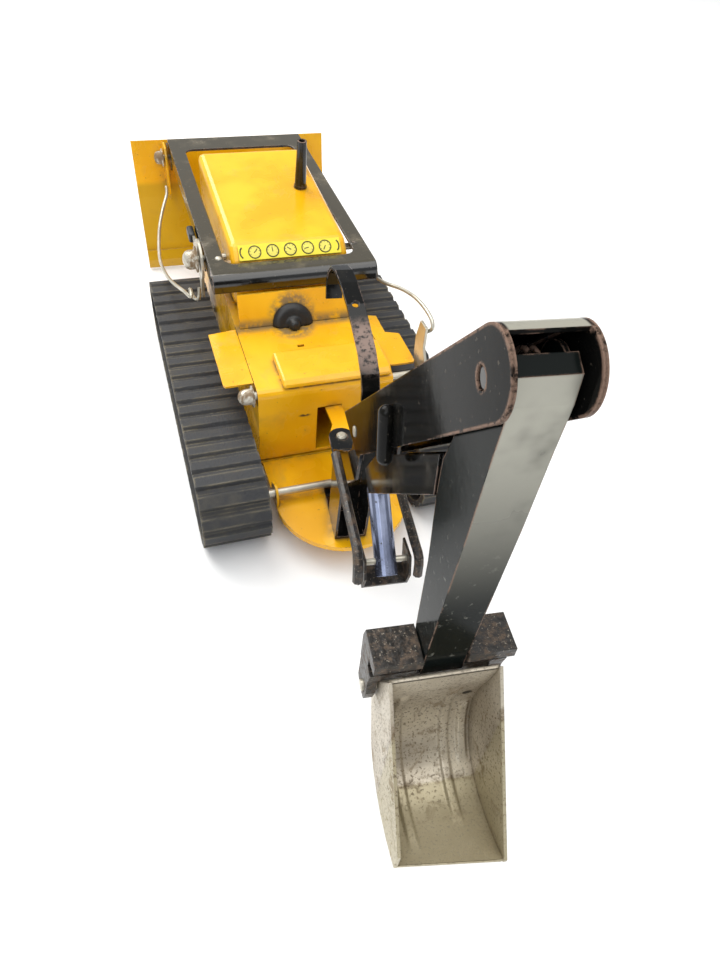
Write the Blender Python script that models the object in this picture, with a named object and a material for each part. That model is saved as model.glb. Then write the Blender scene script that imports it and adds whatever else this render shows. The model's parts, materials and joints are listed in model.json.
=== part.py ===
"""Toy crawler bulldozer in pressed steel, with a swinging backhoe on its tail.

World frame, metres: +Z up, +Y forward towards the blade, +X to the right as seen from
behind. The floor is z = 0 and the origin is under the middle of the whole object.
"""
import bmesh
import bpy
from math import atan2, cos, hypot, pi, radians, sin
from mathutils import Matrix, Vector

MM = 0.001
GAP = 0.3                       # clearance between neighbouring pieces, mm
SHEET = 1.1                     # pressed sheet steel, mm
MIDDLE_Y = 21.66                # moves the middle of the object over the origin, mm

# Crawler
TRACK_OUTER = 70.0
TRACK_INNER = 38.0
TRACK_RADIUS = 20.0
BELT_BAND = 2.2
RIB_HEIGHT = 1.5
RIB_COUNT = 44
REAR_AXLE_Y = -65.0
FRONT_AXLE_Y = 94.0
AXLE_RADIUS = 1.9
WHEEL_WIDTH = 24.0
HUB_RADIUS = 6.0
WHEEL_RADIUS = TRACK_RADIUS - RIB_HEIGHT - BELT_BAND - GAP

# Body, half widths and levels
BODY_HALF = 34.0
FLOOR_Z = 60.0
BODY_REAR_Y = -38.0
BULKHEAD_Y = 14.0
BODY_FRONT_Y = 142.0
BODY_LOW_Z = 15.0
SEAT_LEFT = -21.5
SEAT_RIGHT = 33.0
SEAT_FRONT_Y = -12.5
SEAT_REAR_Y = BODY_REAR_Y
SEAT_TOP_Z = 64.5
HOOD_HALF = 31.0
HOOD_REAR_Y = 42.0
HOOD_FRONT_Y = 139.0
HOOD_REAR_Z = 92.0
HOOD_FRONT_Z = 98.0
STACK_X = 19.5
STACK_Y = 93.0
STACK_HEIGHT = 26.0
PLATE_Z = 15.0
PLATE_RADIUS = 32.5
PLATE_CENTRE_Y = -70.0

# Blade and its push frame
BLADE_HALF = 65.0
BLADE_TOP_Y = 208.0
BLADE_TOP_Z = 78.0
EAR_X = 44.3
BLADE_PIVOT_Y = 196.0
BLADE_PIVOT_Z = 71.5
FRAME_HALF = 43.0
FRAME_REAR_Y = 21.0
FRAME_FRONT_Y = 190.0
FRAME_Z = 86.0
RAIL_WIDTH = 8.5
FRONT_BAR = 18.0                # front to back, mm
REAR_BAR = 12.5
FRAME_DROP = 8.5                # depth of the turned-down edges, mm
ROLL = 5.0                      # radius of the rolled rear edge, mm
FRAME_PIVOT_Y = 54.0
FRAME_PIVOT_Z = 78.5
SHAFT_Y = -34.3
SHAFT_Z = 56.0
SHAFT_RADIUS = 2.0
FRAME_ROD_RADIUS = 1.8
BLADE_PIN_RADIUS = 1.6
WIRE_RADIUS = 1.0
DISC_RADIUS = 10.2              # of the tilt lever's round plate, mm

# Backhoe: r runs outwards along the arm, w across it, z up
SWING_ANGLE = -6.5              # degrees, arm to the left of straight back
ARM_ROOT_Y = -66.0              # where r = 0
KINGPIN_R = -4.0
WEB_R = 14.0
BOOM_HALF = 9.0
BOOM_DEPTH = 17.7
BOOM_PIVOT = (52.5, 104.5)
ELBOW = (142.3, 202.0)
ELBOW_RADIUS = 9.2
ELBOW_PIN = (138.9, 198.3)
MAST_HALF = 7.5
LINK_HALF = 6.0
LINK_LOW = -22.6                # below the boom's middle line, mm
LINK_DEPTH = 13.0
STRAP_HALF = 3.5
STRAP_LEAN = 0.055              # sideways lean over its length
ROD_W = 11.0
BRACKET_HALF = 9.0
BRACKET_PIN = (82.0, 65.2)
HEEL_Z = 98.0
DIPPER_HALF = 6.4
BUCKET_PIVOT = (137.5, 79.5)
BUCKET_HALF = 17.0
YOKE_HALF = 21.0
KINGPIN_RADIUS = 2.5
BOOM_PIN_RADIUS = 2.0
ELBOW_PIN_RADIUS = 2.2
BUCKET_PIN_RADIUS = 1.8
BRACKET_PIN_RADIUS = 1.2
TAB_Z = 45.0                    # underside of the ear at the kingpin's top
THROUGH = 60.0                  # half length of a cutter that passes right through, mm


def clear_scene():
    for item in list(bpy.data.objects):
        bpy.data.objects.remove(item)


def material(name, colour, roughness, metallic=0.0):
    """Return a Principled material with the given linear colour."""
    mat = bpy.data.materials.new(name)
    mat.use_nodes = True
    shader = mat.node_tree.nodes["Principled BSDF"]
    shader.inputs["Base Color"].default_value = (*colour, 1.0)
    shader.inputs["Roughness"].default_value = roughness
    shader.inputs["Metallic"].default_value = metallic
    mat.diffuse_color = (*colour, 1.0)
    return mat


clear_scene()
PALETTE = {
    "yellow": ((0.90, 0.50, 0.01), 0.35, 0.0),
    "black": ((0.02, 0.02, 0.018), 0.22, 0.2),
    "zinc": ((0.55, 0.52, 0.44), 0.42, 0.9),
    "rubber": ((0.045, 0.045, 0.05), 0.85, 0.0),
    "vinyl": ((0.015, 0.015, 0.015), 0.5, 0.0),
    "dial": ((0.85, 0.62, 0.05), 0.5, 0.0),
}


def empty(name, place, parent=None, turn_z=0.0):
    """Return a joint empty placed at (x, y, z) millimetres in its parent's frame."""
    axis = bpy.data.objects.new(name, None)
    bpy.context.collection.objects.link(axis)
    axis.location = Vector(place) * MM
    axis.rotation_euler = (0.0, 0.0, radians(turn_z))
    axis.parent = parent
    return axis


WORLD = empty("world_frame", (0.0, MIDDLE_Y, 0.0))
SWING = empty("swing_frame", (0.0, ARM_ROOT_Y, 0.0), WORLD, SWING_ANGLE - 90.0)


def make(name, bm, colour, pivot=(0.0, 0.0, 0.0), parent=WORLD, smooth=False):
    """Turn a millimetre bmesh into an object whose origin is at the pivot."""
    bmesh.ops.translate(bm, verts=bm.verts, vec=-Vector(pivot))
    bmesh.ops.scale(bm, verts=bm.verts, vec=(MM, MM, MM))
    bmesh.ops.recalc_face_normals(bm, faces=bm.faces)
    mesh = bpy.data.meshes.new(name)
    bm.to_mesh(mesh)
    bm.free()
    obj = bpy.data.objects.new(name, mesh)
    bpy.context.collection.objects.link(obj)
    if colour not in bpy.data.materials:
        material(colour, *PALETTE[colour])
    mesh.materials.append(bpy.data.materials[colour])
    obj.location = Vector(pivot) * MM
    obj.parent = parent
    if smooth:
        mesh.shade_smooth()
        mesh.set_sharp_from_angle(angle=radians(35))
    return obj


def prism(outline, axis, low, high):
    """Extrude an outline along an axis.

    The outline's points are (y, z) for axis "x", (x, z) for "y" and (x, y) for "z".
    """
    places = {
        "x": lambda a, b, c: (c, a, b),
        "y": lambda a, b, c: (a, c, b),
        "z": lambda a, b, c: (a, b, c),
    }[axis]
    bm = bmesh.new()
    rings = [[bm.verts.new(places(a, b, level)) for a, b in outline] for level in (low, high)]
    bm.faces.new(rings[0])
    bm.faces.new(list(reversed(rings[1])))
    count = len(outline)
    for i in range(count):
        j = (i + 1) % count
        bm.faces.new((rings[0][i], rings[1][i], rings[1][j], rings[0][j]))
    return bm


def block(low, high):
    """Return a box between two corners."""
    (x0, y0, z0), (x1, y1, z1) = low, high
    return prism([(x0, y0), (x1, y0), (x1, y1), (x0, y1)], "z", z0, z1)


def arc(centre, radius, start, end, steps):
    """Points along a circular arc, with angles in degrees."""
    points = []
    for i in range(steps + 1):
        angle = radians(start + (end - start) * i / steps)
        points.append((centre[0] + radius * cos(angle), centre[1] + radius * sin(angle)))
    return points


def offset_path(path, distance):
    """Shift an open path to its left by a distance, with mitred corners."""
    shifted = []
    for i, (px, py) in enumerate(path):
        before = path[max(i - 1, 0)]
        after = path[min(i + 1, len(path) - 1)]
        normals = []
        for (ax, ay), (bx, by) in ((before, (px, py)), ((px, py), after)):
            length = hypot(bx - ax, by - ay)
            if length > 1e-9:
                normals.append(((ay - by) / length, (bx - ax) / length))
        nx = sum(n[0] for n in normals) / len(normals)
        ny = sum(n[1] for n in normals) / len(normals)
        scale = distance / (nx * nx + ny * ny)
        shifted.append((px + nx * scale, py + ny * scale))
    return shifted


def sheet(path, thickness, axis, low, high):
    """A folded strip of sheet metal: an open path thickened and extruded."""
    return prism(list(path) + offset_path(path, thickness)[::-1], axis, low, high)


def lathe(profile, steps=20):
    """Turn a profile of (radius, height) points round Z, capped at both ends."""
    bm = bmesh.new()
    rings = []
    for radius, height in profile:
        ring = [bm.verts.new((radius * cos(2 * pi * i / steps), radius * sin(2 * pi * i / steps), height))
                for i in range(steps)]
        rings.append(ring)
    for a, b in zip(rings, rings[1:]):
        for i in range(steps):
            j = (i + 1) % steps
            bm.faces.new((a[i], a[j], b[j], b[i]))
    bm.faces.new(list(reversed(rings[0])))
    bm.faces.new(rings[-1])
    return bm


def aimed(bm, start, direction):
    """Lay a piece built along Z along a direction, from a start point."""
    turn = Vector((0, 0, 1)).rotation_difference(Vector(direction).normalized()).to_matrix().to_4x4()
    bm.transform(Matrix.Translation(Vector(start)) @ turn)
    return bm


def rod(start, end, radius, steps=12, ends=None):
    """A round bar between two points; ends is its radius at the far end."""
    span = Vector(end) - Vector(start)
    profile = [(radius, 0.0), (radius if ends is None else ends, span.length)]
    return aimed(lathe(profile, steps), start, span)


def acorn(start, direction, radius=3.1, height=5.0):
    """A push-on acorn nut: a flange and a dome."""
    profile = [(radius * 1.35, 0.0), (radius * 1.35, 0.8), (radius, 1.1), (radius, height * 0.55)]
    for angle in (30, 55, 78):
        turn = radians(angle)
        profile.append((radius * cos(turn), height * 0.55 + height * 0.45 * sin(turn)))
    return aimed(lathe(profile, 14), start, direction)


def wire(name, points, radius, colour, parent=WORLD):
    """A bent wire through the given points, as a bevelled curve with filled caps."""
    curve = bpy.data.curves.new(name, "CURVE")
    curve.dimensions = "3D"
    curve.bevel_depth = radius * MM
    curve.bevel_resolution = 2
    curve.use_fill_caps = True
    spline = curve.splines.new("POLY")
    spline.points.add(len(points) - 1)
    for point, place in zip(spline.points, points):
        point.co = (*[v * MM for v in place], 1.0)
    if colour not in bpy.data.materials:
        material(colour, *PALETTE[colour])
    curve.materials.append(bpy.data.materials[colour])
    obj = bpy.data.objects.new(name, curve)
    bpy.context.collection.objects.link(obj)
    obj.parent = parent
    return obj


def smooth_route(points, per_span=4):
    """A Catmull-Rom route through points."""
    pts = [Vector(p) for p in points]
    pts = [2 * pts[0] - pts[1]] + pts + [2 * pts[-1] - pts[-2]]
    route = []
    for i in range(1, len(pts) - 2):
        a, b, c, d = pts[i - 1:i + 3]
        for step in range(per_span):
            t = step / per_span
            route.append(0.5 * (2 * b + (c - a) * t + (2 * a - 5 * b + 4 * c - d) * t ** 2
                                + (3 * b - a - 3 * c + d) * t ** 3))
    route.append(pts[-2])
    return [tuple(p) for p in route]


def boolean(target, tool_bm, operation="DIFFERENCE"):
    """Cut or join a millimetre tool mesh, given in the target's parent frame."""
    tool = make(target.name + "_tool", tool_bm, "black", parent=target.parent)
    tool.hide_render = True
    tool.display_type = "WIRE"
    change = target.modifiers.new("cut", "BOOLEAN")
    change.operation = operation
    change.solver = "EXACT"
    change.object = tool


def cross_hole(obj, place, radius, steps=12):
    """Bore a hole right across the body, along X at (y, z), with running clearance."""
    boolean(obj, rod((-THROUGH, *place), (THROUGH, *place), radius + GAP, steps))


def bevel(obj, width, segments=2, angle=40.0):
    """Round the sharp edges of an object."""
    change = obj.modifiers.new("round", "BEVEL")
    change.width = width * MM
    change.segments = segments
    change.limit_method = "ANGLE"
    change.angle_limit = radians(angle)


# ---------------------------------------------------------------- crawler

def track_point(along, radius):
    """Point (y, z) of a loop round both axles at a distance along it."""
    straight = FRONT_AXLE_Y - REAR_AXLE_Y
    turn = pi * radius
    if along < straight:
        return FRONT_AXLE_Y - along, TRACK_RADIUS + radius
    along -= straight
    if along < turn:
        angle = pi / 2 + along / radius
        return REAR_AXLE_Y + radius * cos(angle), TRACK_RADIUS + radius * sin(angle)
    along -= turn
    if along < straight:
        return REAR_AXLE_Y + along, TRACK_RADIUS - radius
    angle = -pi / 2 + (along - straight) / radius
    return FRONT_AXLE_Y + radius * cos(angle), TRACK_RADIUS + radius * sin(angle)


def build_belt(name, low, high):
    """Ribbed rubber track: square ribs on a flat band, both lying round the wheels."""
    base = TRACK_RADIUS - RIB_HEIGHT
    inner = base - BELT_BAND
    length = 2 * (FRONT_AXLE_Y - REAR_AXLE_Y) + 2 * pi * base
    pitch = length / RIB_COUNT
    outer = []
    for i in range(RIB_COUNT):
        for part, height in ((0.0, 0.0), (0.14, RIB_HEIGHT), (0.66, RIB_HEIGHT), (0.80, 0.0)):
            place = (i + part) * pitch
            y, z = track_point(place, base)
            cy = min(max(y, REAR_AXLE_Y), FRONT_AXLE_Y)
            away = Vector((y - cy, z - TRACK_RADIUS)).normalized()
            outer.append((y + away.x * height, z + away.y * height))
    hole = []
    for centre, start in ((REAR_AXLE_Y, 90.0), (FRONT_AXLE_Y, 270.0)):
        hole += arc((centre, TRACK_RADIUS), inner, start, start + 180.0, 16)
    bm = prism(outer, "x", low, high)
    belt = make(name, bm, "rubber")
    boolean(belt, prism(hole, "x", low - 5.0, high + 5.0))
    return belt


def build_wheel(name, y, radius, side, width):
    """Dished track wheel with a hub, bored for its axle and open to the outside."""
    inner_x = (TRACK_OUTER + TRACK_INNER) / 2 - width / 2
    rim = min(3.0, radius * 0.3)
    bore = AXLE_RADIUS + GAP
    dish = width * 0.62
    profile = [(bore, 0.0), (radius, 0.0), (radius, width), (radius - rim, width), (radius - rim - 1.2, dish),
               (HUB_RADIUS + 1.0, dish), (HUB_RADIUS, width), (bore, width)]
    steps = 24
    bm = bmesh.new()
    rings = [[bm.verts.new((r * cos(2 * pi * i / steps), r * sin(2 * pi * i / steps), h))
              for i in range(steps)] for r, h in profile]
    for a, b in zip(rings, rings[1:] + rings[:1]):
        for i in range(steps):
            j = (i + 1) % steps
            bm.faces.new((a[i], a[j], b[j], b[i]))
    aimed(bm, (side * inner_x, y, TRACK_RADIUS), (side, 0, 0))
    return make(name, bm, "black", (side * inner_x, y, TRACK_RADIUS), smooth=True)


def build_crawler():
    for side, hand in ((-1, "left"), (1, "right")):
        low, high = sorted((side * TRACK_INNER, side * TRACK_OUTER))
        build_belt(f"{hand}_track", low, high)
        build_wheel(f"{hand}_front_wheel", FRONT_AXLE_Y, WHEEL_RADIUS, side, WHEEL_WIDTH)
        build_wheel(f"{hand}_rear_wheel", REAR_AXLE_Y, WHEEL_RADIUS, side, WHEEL_WIDTH)
    reach = (TRACK_OUTER + TRACK_INNER) / 2 + 15.0
    head = [(1.2, 0.0), (2.4, 0.5), (2.9, 1.3), (2.9, 2.2), (AXLE_RADIUS, 2.2)]
    tail = [(radius, 2 * reach - height) for radius, height in reversed(head)]
    for name, y in (("front_axle", FRONT_AXLE_Y), ("rear_axle", REAR_AXLE_Y)):
        start = (-reach, y, TRACK_RADIUS)
        make(name, aimed(lathe(head + tail, 14), start, (1, 0, 0)), "zinc", start, smooth=True)


# ---------------------------------------------------------------- body

def build_body():
    """Cockpit tub and engine bay: one folded shell, open underneath."""
    outline = [(BODY_REAR_Y, BODY_LOW_Z + SHEET + GAP), (BODY_REAR_Y, FLOOR_Z - 4.0)]
    outline += arc((BODY_REAR_Y + 4.0, FLOOR_Z - 4.0), 4.0, 180, 90, 4)[1:]
    outline += [(BODY_FRONT_Y, FLOOR_Z), (BODY_FRONT_Y, BODY_LOW_Z + SHEET + GAP)]
    shell = make("body_shell", prism(outline, "x", -BODY_HALF, BODY_HALF), "yellow")
    hollow = offset_path(outline, -SHEET)
    hollow[0] = (hollow[0][0], 0.0)
    hollow[-1] = (hollow[-1][0], 0.0)
    boolean(shell, prism(hollow, "x", SHEET - BODY_HALF, BODY_HALF - SHEET))
    boolean(shell, block((-4.5, BODY_REAR_Y - 3, 17.8), (8.0, BODY_REAR_Y + 6, 46.2)))
    cross_hole(shell, (FRONT_AXLE_Y, TRACK_RADIUS), AXLE_RADIUS)
    cross_hole(shell, (SHAFT_Y, SHAFT_Z), SHAFT_RADIUS)
    boolean(shell, block((-6.6, -6.3, FLOOR_Z - 4.0), (-3.2, -4.5, FLOOR_Z + 4.0)))

    low = FLOOR_Z + GAP
    lift = SEAT_TOP_Z - low
    outline = [(SEAT_FRONT_Y, low), (SEAT_FRONT_Y - 0.8, SEAT_TOP_Z), (SEAT_REAR_Y + 6.0, SEAT_TOP_Z)]
    outline += [(SEAT_REAR_Y + 2.6, low + lift * 0.86), (SEAT_REAR_Y + 0.6, low + lift * 0.5),
                (SEAT_REAR_Y, low)]
    seat = make("seat_box", prism(outline, "x", SEAT_LEFT, SEAT_RIGHT), "yellow")
    bevel(seat, 1.2, 2, 50.0)

    for side, hand in ((-1, "left"), (1, "right")):
        inner, outer = BODY_HALF + GAP, 48.5
        notch = 7.0 if side > 0 else 0.0
        outline = [(side * inner, -29.6), (side * (outer - 1), -29.6), (side * outer, -28.2)]
        outline += [(side * outer, 9.0 - 2 * notch), (side * (outer - notch), 11.5 - 2 * notch),
                    (side * (outer - notch), 12.5), (side * inner, 14.5)]
        make(f"{hand}_fender", prism(outline, "z", FLOOR_Z - SHEET, FLOOR_Z), "yellow")

    pan = [(-BODY_HALF, BODY_REAR_Y), (-BODY_HALF, BODY_FRONT_Y), (BODY_HALF, BODY_FRONT_Y),
           (BODY_HALF, BODY_REAR_Y)]
    make("chassis_pan", prism(pan, "z", PLATE_Z - 3.0, PLATE_Z - GAP), "yellow")

    tail = [(-PLATE_RADIUS, BODY_REAR_Y - GAP), (-PLATE_RADIUS, PLATE_CENTRE_Y)]
    tail += arc((0.0, PLATE_CENTRE_Y), PLATE_RADIUS, 180, 360, 24)[1:]
    tail += [(PLATE_RADIUS, BODY_REAR_Y - GAP)]
    plate = make("tail_plate", prism(tail, "z", PLATE_Z - 3.0, PLATE_Z - GAP), "yellow")
    ear = [(REAR_AXLE_Y - 5.0, PLATE_Z - 2.0), (REAR_AXLE_Y + 8.0, PLATE_Z - 2.0), (REAR_AXLE_Y + 6.0, 22.0),
           *arc((REAR_AXLE_Y, TRACK_RADIUS), 4.6, 30, 180, 8)]
    for side in (-1, 1):
        low, high = sorted((side * PLATE_RADIUS, side * (PLATE_RADIUS - 1.2)))
        boolean(plate, prism(ear, "x", low + 0.002 * side, high - 0.002 * side), "UNION")
    cross_hole(plate, (REAR_AXLE_Y, TRACK_RADIUS), AXLE_RADIUS)
    kingpin = SWING_POINTS["kingpin"]
    boolean(plate, rod((*kingpin, 5), (*kingpin, 25), KINGPIN_RADIUS + GAP, 16))


def build_hood():
    """Sloping hood with rounded edges, its dial strip, the bulkhead and the stack."""
    slope = (HOOD_FRONT_Z - HOOD_REAR_Z) / (HOOD_FRONT_Y - HOOD_REAR_Y)
    base = FLOOR_Z + GAP
    outline = [(HOOD_REAR_Y - 7.8, base), (HOOD_REAR_Y - 7.5, HOOD_REAR_Z - 6.5), (HOOD_REAR_Y, HOOD_REAR_Z),
               (HOOD_FRONT_Y, HOOD_FRONT_Z), (HOOD_FRONT_Y, base)]
    hood = make("hood", prism(outline, "x", -HOOD_HALF, HOOD_HALF), "yellow", smooth=True)
    bevel(hood, 3.5, 3, 30.0)
    cross_hole(hood, (FRAME_PIVOT_Y, FRAME_PIVOT_Z), FRAME_ROD_RADIUS, 16)

    run = Vector((0.0, -7.5, -7.0)).normalized()
    up = Vector((0.0, -7.0, 7.5)).normalized()
    middle = Vector((0.0, HOOD_REAR_Y - 3.75, HOOD_REAR_Z - 3.5)) + up * 0.8
    strip = block((-27.0, -4.0, -0.25), (27.0, 4.0, 0.25))
    slant = Matrix(((1, 0, 0), (0, -run.y, up.y), (0, -run.z, up.z))).to_4x4()
    strip.transform(Matrix.Translation(middle) @ slant)
    make("dial_strip", strip, "dial")

    foot = HOOD_REAR_Z + slope * (STACK_Y - HOOD_REAR_Y)
    stack = lathe([(3.7, 0.0), (3.7, 1.0), (3.3, 1.6), (2.6, STACK_HEIGHT), (1.7, STACK_HEIGHT),
                   (1.5, STACK_HEIGHT - 5.0)], 16)
    aimed(stack, (STACK_X, STACK_Y, foot + GAP), (0, -0.06, 1))
    make("exhaust_stack", stack, "black", smooth=True)

    top = HOOD_REAR_Z - 15.6
    top_y = BULKHEAD_Y + 5.6
    panel = [(BULKHEAD_Y, FLOOR_Z + GAP), (top_y, top), (top_y + SHEET, top),
             (BULKHEAD_Y + SHEET, FLOOR_Z + GAP)]
    make("bulkhead", prism(panel, "x", -HOOD_HALF - 1.0, HOOD_HALF + 1.0), "yellow")
    lean = Vector((0.0, BULKHEAD_Y - top_y, top - FLOOR_Z - GAP))
    face = Vector((0.0, -lean.z, -lean.y)).normalized()
    spot = Vector((-4.3, BULKHEAD_Y, FLOOR_Z + 0.6)) + face * GAP
    knob = lathe([(10.6, 0.0), (10.6, 0.8), (9.2, 2.2), (7.2, 2.9), (5.0, 2.6), (3.3, 3.2), (2.8, 5.8),
                  (1.2, 6.6)], 24)
    button = make("rubber_button", aimed(knob, spot, face), "vinyl", smooth=True)
    boolean(button, block((-30.0, -30.0, 30.0), (30.0, 60.0, FLOOR_Z + GAP)))


def build_tab():
    """Half-round ear bent out of the rear wall that carries the top of the kingpin."""
    kingpin = SWING_POINTS["kingpin"]
    outline = [(-0.7, BODY_REAR_Y - GAP), (-0.7, BODY_REAR_Y - 13.0), (-4.9, kingpin[1] + 3.0)]
    outline += arc(kingpin, 5.4, 180, 360, 14)
    outline += [(7.7, BODY_REAR_Y - 8.0), (7.7, BODY_REAR_Y - GAP)]
    tab = make("swing_tab", prism(outline, "z", TAB_Z, TAB_Z + SHEET), "yellow")
    boolean(tab, rod((*kingpin, 30), (*kingpin, 60), KINGPIN_RADIUS + GAP, 16))


# ---------------------------------------------------------------- blade and frame

def build_blade():
    """Curved mouldboard with two ears behind it; turns on the front of the push frame."""
    pivot = (0.0, BLADE_PIVOT_Y, BLADE_PIVOT_Z)
    drops = ((0.0, BLADE_TOP_Z), (-4.0, 60.0), (-9.0, 44.0), (-16.0, 28.0), (-21.5, 16.0), (-24.5, 8.5),
             (-25.5, 3.0))
    path = [(BLADE_TOP_Y + back, z) for back, z in drops]
    blade = make("blade", sheet(path, SHEET, "x", -BLADE_HALF, BLADE_HALF), "yellow", pivot)
    lip = [(BLADE_TOP_Y - 22.8, 12.2), (BLADE_TOP_Y - 24.9, 6.4), (BLADE_TOP_Y - 25.7, 1.2)]
    boolean(blade, sheet(lip, -1.7, "x", 0.001 - BLADE_HALF, BLADE_HALF - 0.001), "UNION")
    for side in (-1, 1):
        ear = [(BLADE_TOP_Y + 0.2, 76.5), (199.0, 80.0), (189.0, 80.0), (186.0, 76.0), (184.5, 52.0),
               (187.5, 47.0), (BLADE_TOP_Y - 8.0, 47.0), (BLADE_TOP_Y - 3.6, 60.0)]
        low, high = sorted((side * EAR_X, side * (EAR_X + SHEET)))
        boolean(blade, prism(ear, "x", low, high), "UNION")
    cross_hole(blade, (BLADE_PIVOT_Y, BLADE_PIVOT_Z), BLADE_PIN_RADIUS, 14)


def rolled(inset, low):
    """Side outline of the push frame, or of the hollow under it, with a rolled rear edge."""
    rear, top, radius = FRAME_REAR_Y + inset, FRAME_Z - inset, ROLL - inset
    back = arc((rear + radius, top - radius), radius, 180, 90, 5)
    return [(rear, low), *back, (FRAME_FRONT_Y - inset - 1.5, top), (FRAME_FRONT_Y - inset, top - 1.5),
            (FRAME_FRONT_Y - inset, low)]


def build_frame():
    """Push frame: a stamped ring round the hood, pivoted on the hood, with rolled edges."""
    front = FRAME_FRONT_Y - FRONT_BAR
    rear = FRAME_REAR_Y + REAR_BAR
    side_in = FRAME_HALF - RAIL_WIDTH
    low = FRAME_Z - FRAME_DROP
    round_in = 5.5
    pivot = (FRAME_PIVOT_Y, FRAME_PIVOT_Z)
    ring = make("push_frame", prism(rolled(0.0, low), "x", -FRAME_HALF, FRAME_HALF), "black", (0.0, *pivot))
    boolean(ring, prism(rolled(SHEET, low - 4.0), "x", SHEET - FRAME_HALF, FRAME_HALF - SHEET))
    window = []
    corners = ((side_in, front, 0), (-side_in, front, 90), (-side_in, rear, 180), (side_in, rear, 270))
    for x, y, start in corners:
        centre = (x - round_in if x > 0 else x + round_in, y - round_in if y > rear else y + round_in)
        window += arc(centre, round_in, start, start + 90, 4)
    boolean(ring, prism(window, "z", low - 5.0, FRAME_Z + 5.0))
    for side, hand in ((-1, "left"), (1, "right")):
        x0, x1 = sorted((side * (FRAME_HALF - SHEET), side * FRAME_HALF))
        lug = [(FRAME_FRONT_Y - 14.0, low + 1.5), (BLADE_PIVOT_Y + 4.5, low + 1.5),
               (BLADE_PIVOT_Y + 4.5, 67.5),
               (FRAME_FRONT_Y - 5.0, 67.5)]
        boolean(ring, prism(lug, "x", x0, x1), "UNION")
        lug = [(FRAME_PIVOT_Y - 9.0, low + 1.5), (FRAME_PIVOT_Y + 9.0, low + 1.5),
               (FRAME_PIVOT_Y + 4.5, 73.5),
               (FRAME_PIVOT_Y - 4.5, 73.5)]
        boolean(ring, prism(lug, "x", x0, x1), "UNION")
        pin = rod((side * (FRAME_HALF + GAP), BLADE_PIVOT_Y, BLADE_PIVOT_Z),
                  (side * (EAR_X + SHEET + 0.6), BLADE_PIVOT_Y, BLADE_PIVOT_Z), BLADE_PIN_RADIUS)
        make(f"{hand}_blade_pin", pin, "zinc", smooth=True)
        outside = (side * (EAR_X + SHEET + 0.9), BLADE_PIVOT_Y, BLADE_PIVOT_Z)
        nut = acorn(outside, (side, 0, 0), 4.0, 5.6)
        make(f"{hand}_blade_nut", nut, "zinc", smooth=True)
    cross_hole(ring, pivot, FRAME_ROD_RADIUS)
    pivot_rod = rod((-45.9, *pivot), (FRAME_HALF + 0.4, *pivot), FRAME_ROD_RADIUS)
    make("frame_pivot_rod", pivot_rod, "zinc", smooth=True)
    make("left_frame_nut", acorn((-46.2, *pivot), (-1, 0, 0), 5.0, 7.4), "zinc", smooth=True)
    cap = aimed(lathe([(3.2, 0.0), (3.2, 0.8), (1.6, 1.5)], 16), (FRAME_HALF + 0.7, *pivot), (1, 0, 0))
    make("right_frame_nut", cap, "zinc", smooth=True)


def build_controls():
    """Tilt lever, its wire to the blade, and the lift crank with its wire."""
    pivot = (FRAME_PIVOT_Y, FRAME_PIVOT_Z)
    plate = arc(pivot, DISC_RADIUS, 25, 245, 18)
    plate += [(FRAME_PIVOT_Y - 3.0, 61.0), *arc((FRAME_PIVOT_Y - 0.5, 58.6), 2.6, 180, 360, 6)]
    plate += arc(pivot, DISC_RADIUS, 295, 345, 4)
    plate += [(FRAME_PIVOT_Y + 20.0, 77.0), (FRAME_PIVOT_Y + 20.0, 81.0)]
    lever = make("tilt_lever", prism(plate, "x", -45.2, -43.9), "zinc", (-44.5, *pivot))
    boolean(lever, rod((-55, *pivot), (-35, *pivot), FRAME_ROD_RADIUS + GAP))
    grip = block((-47.0, FRAME_PIVOT_Y + 20.3, 76.4), (-43.4, FRAME_PIVOT_Y + 31.0, 81.6))
    bevel(make("lever_grip", grip, "vinyl", (-44.5, *pivot)), 1.2, 3)
    route = [(-46.6, 50.0, 64.0), (-47.6, 49.0, 58.0), (-49.5, 54.0, 55.5), (-51.0, 58.0, 58.0),
             (-51.0, 53.0, 61.0), (-51.8, 47.0, 60.5), (-54.0, 56.0, 58.5), (-58.3, 79.0, 51.0),
             (-60.5, 100.0, 45.5), (-61.0, 122.0, 43.0), (-57.0, 155.0, 43.0), (-52.0, 174.0, 47.0),
             (-47.6, 184.0, 52.0), (-46.9, 188.0, 56.0)]
    wire("tilt_wire", smooth_route(route, 3), WIRE_RADIUS, "zinc")

    shaft = (SHAFT_Y, SHAFT_Z)
    bar = rod((-BODY_HALF - 1.2, *shaft), (51.6, *shaft), SHAFT_RADIUS)
    make("cross_shaft", bar, "zinc", (0.0, *shaft), smooth=True)
    nut = acorn((-BODY_HALF - 1.5, *shaft), (-1, 0, 0), 3.9, 7.4)
    make("cross_shaft_nut", nut, "zinc", smooth=True)
    corners = ((-4.0, -6.0), (4.5, -6.0), (11.0, 4.0), (12.0, 14.0), (9.5, 25.0), (2.5, 25.0), (2.0, 14.0),
               (-5.0, 5.0))
    plate = [(SHAFT_Y + y, SHAFT_Z + z) for y, z in corners]
    crank = make("lift_crank", prism(plate, "x", 49.9, 51.2), "zinc", (50.5, *shaft))
    boolean(crank, rod((40, *shaft), (60, *shaft), SHAFT_RADIUS + GAP))
    make("lift_crank_nut", acorn((51.9, *shaft), (1, 0, 0), 2.8, 3.6), "zinc", smooth=True)
    route = [(52.6, SHAFT_Y + 6.5, SHAFT_Z + 20.0), (53.2, SHAFT_Y + 2.0, SHAFT_Z + 25.5), (53.2,
                                                                                            -27.0, 85.0),
             (52.6, -12.0, 84.5), (51.0, 4.0, 80.5), (47.0, 17.0, 76.5), (44.8, 24.0, 75.5)]
    wire("lift_wire", smooth_route(route, 5), WIRE_RADIUS, "zinc")


# ---------------------------------------------------------------- backhoe

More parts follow.
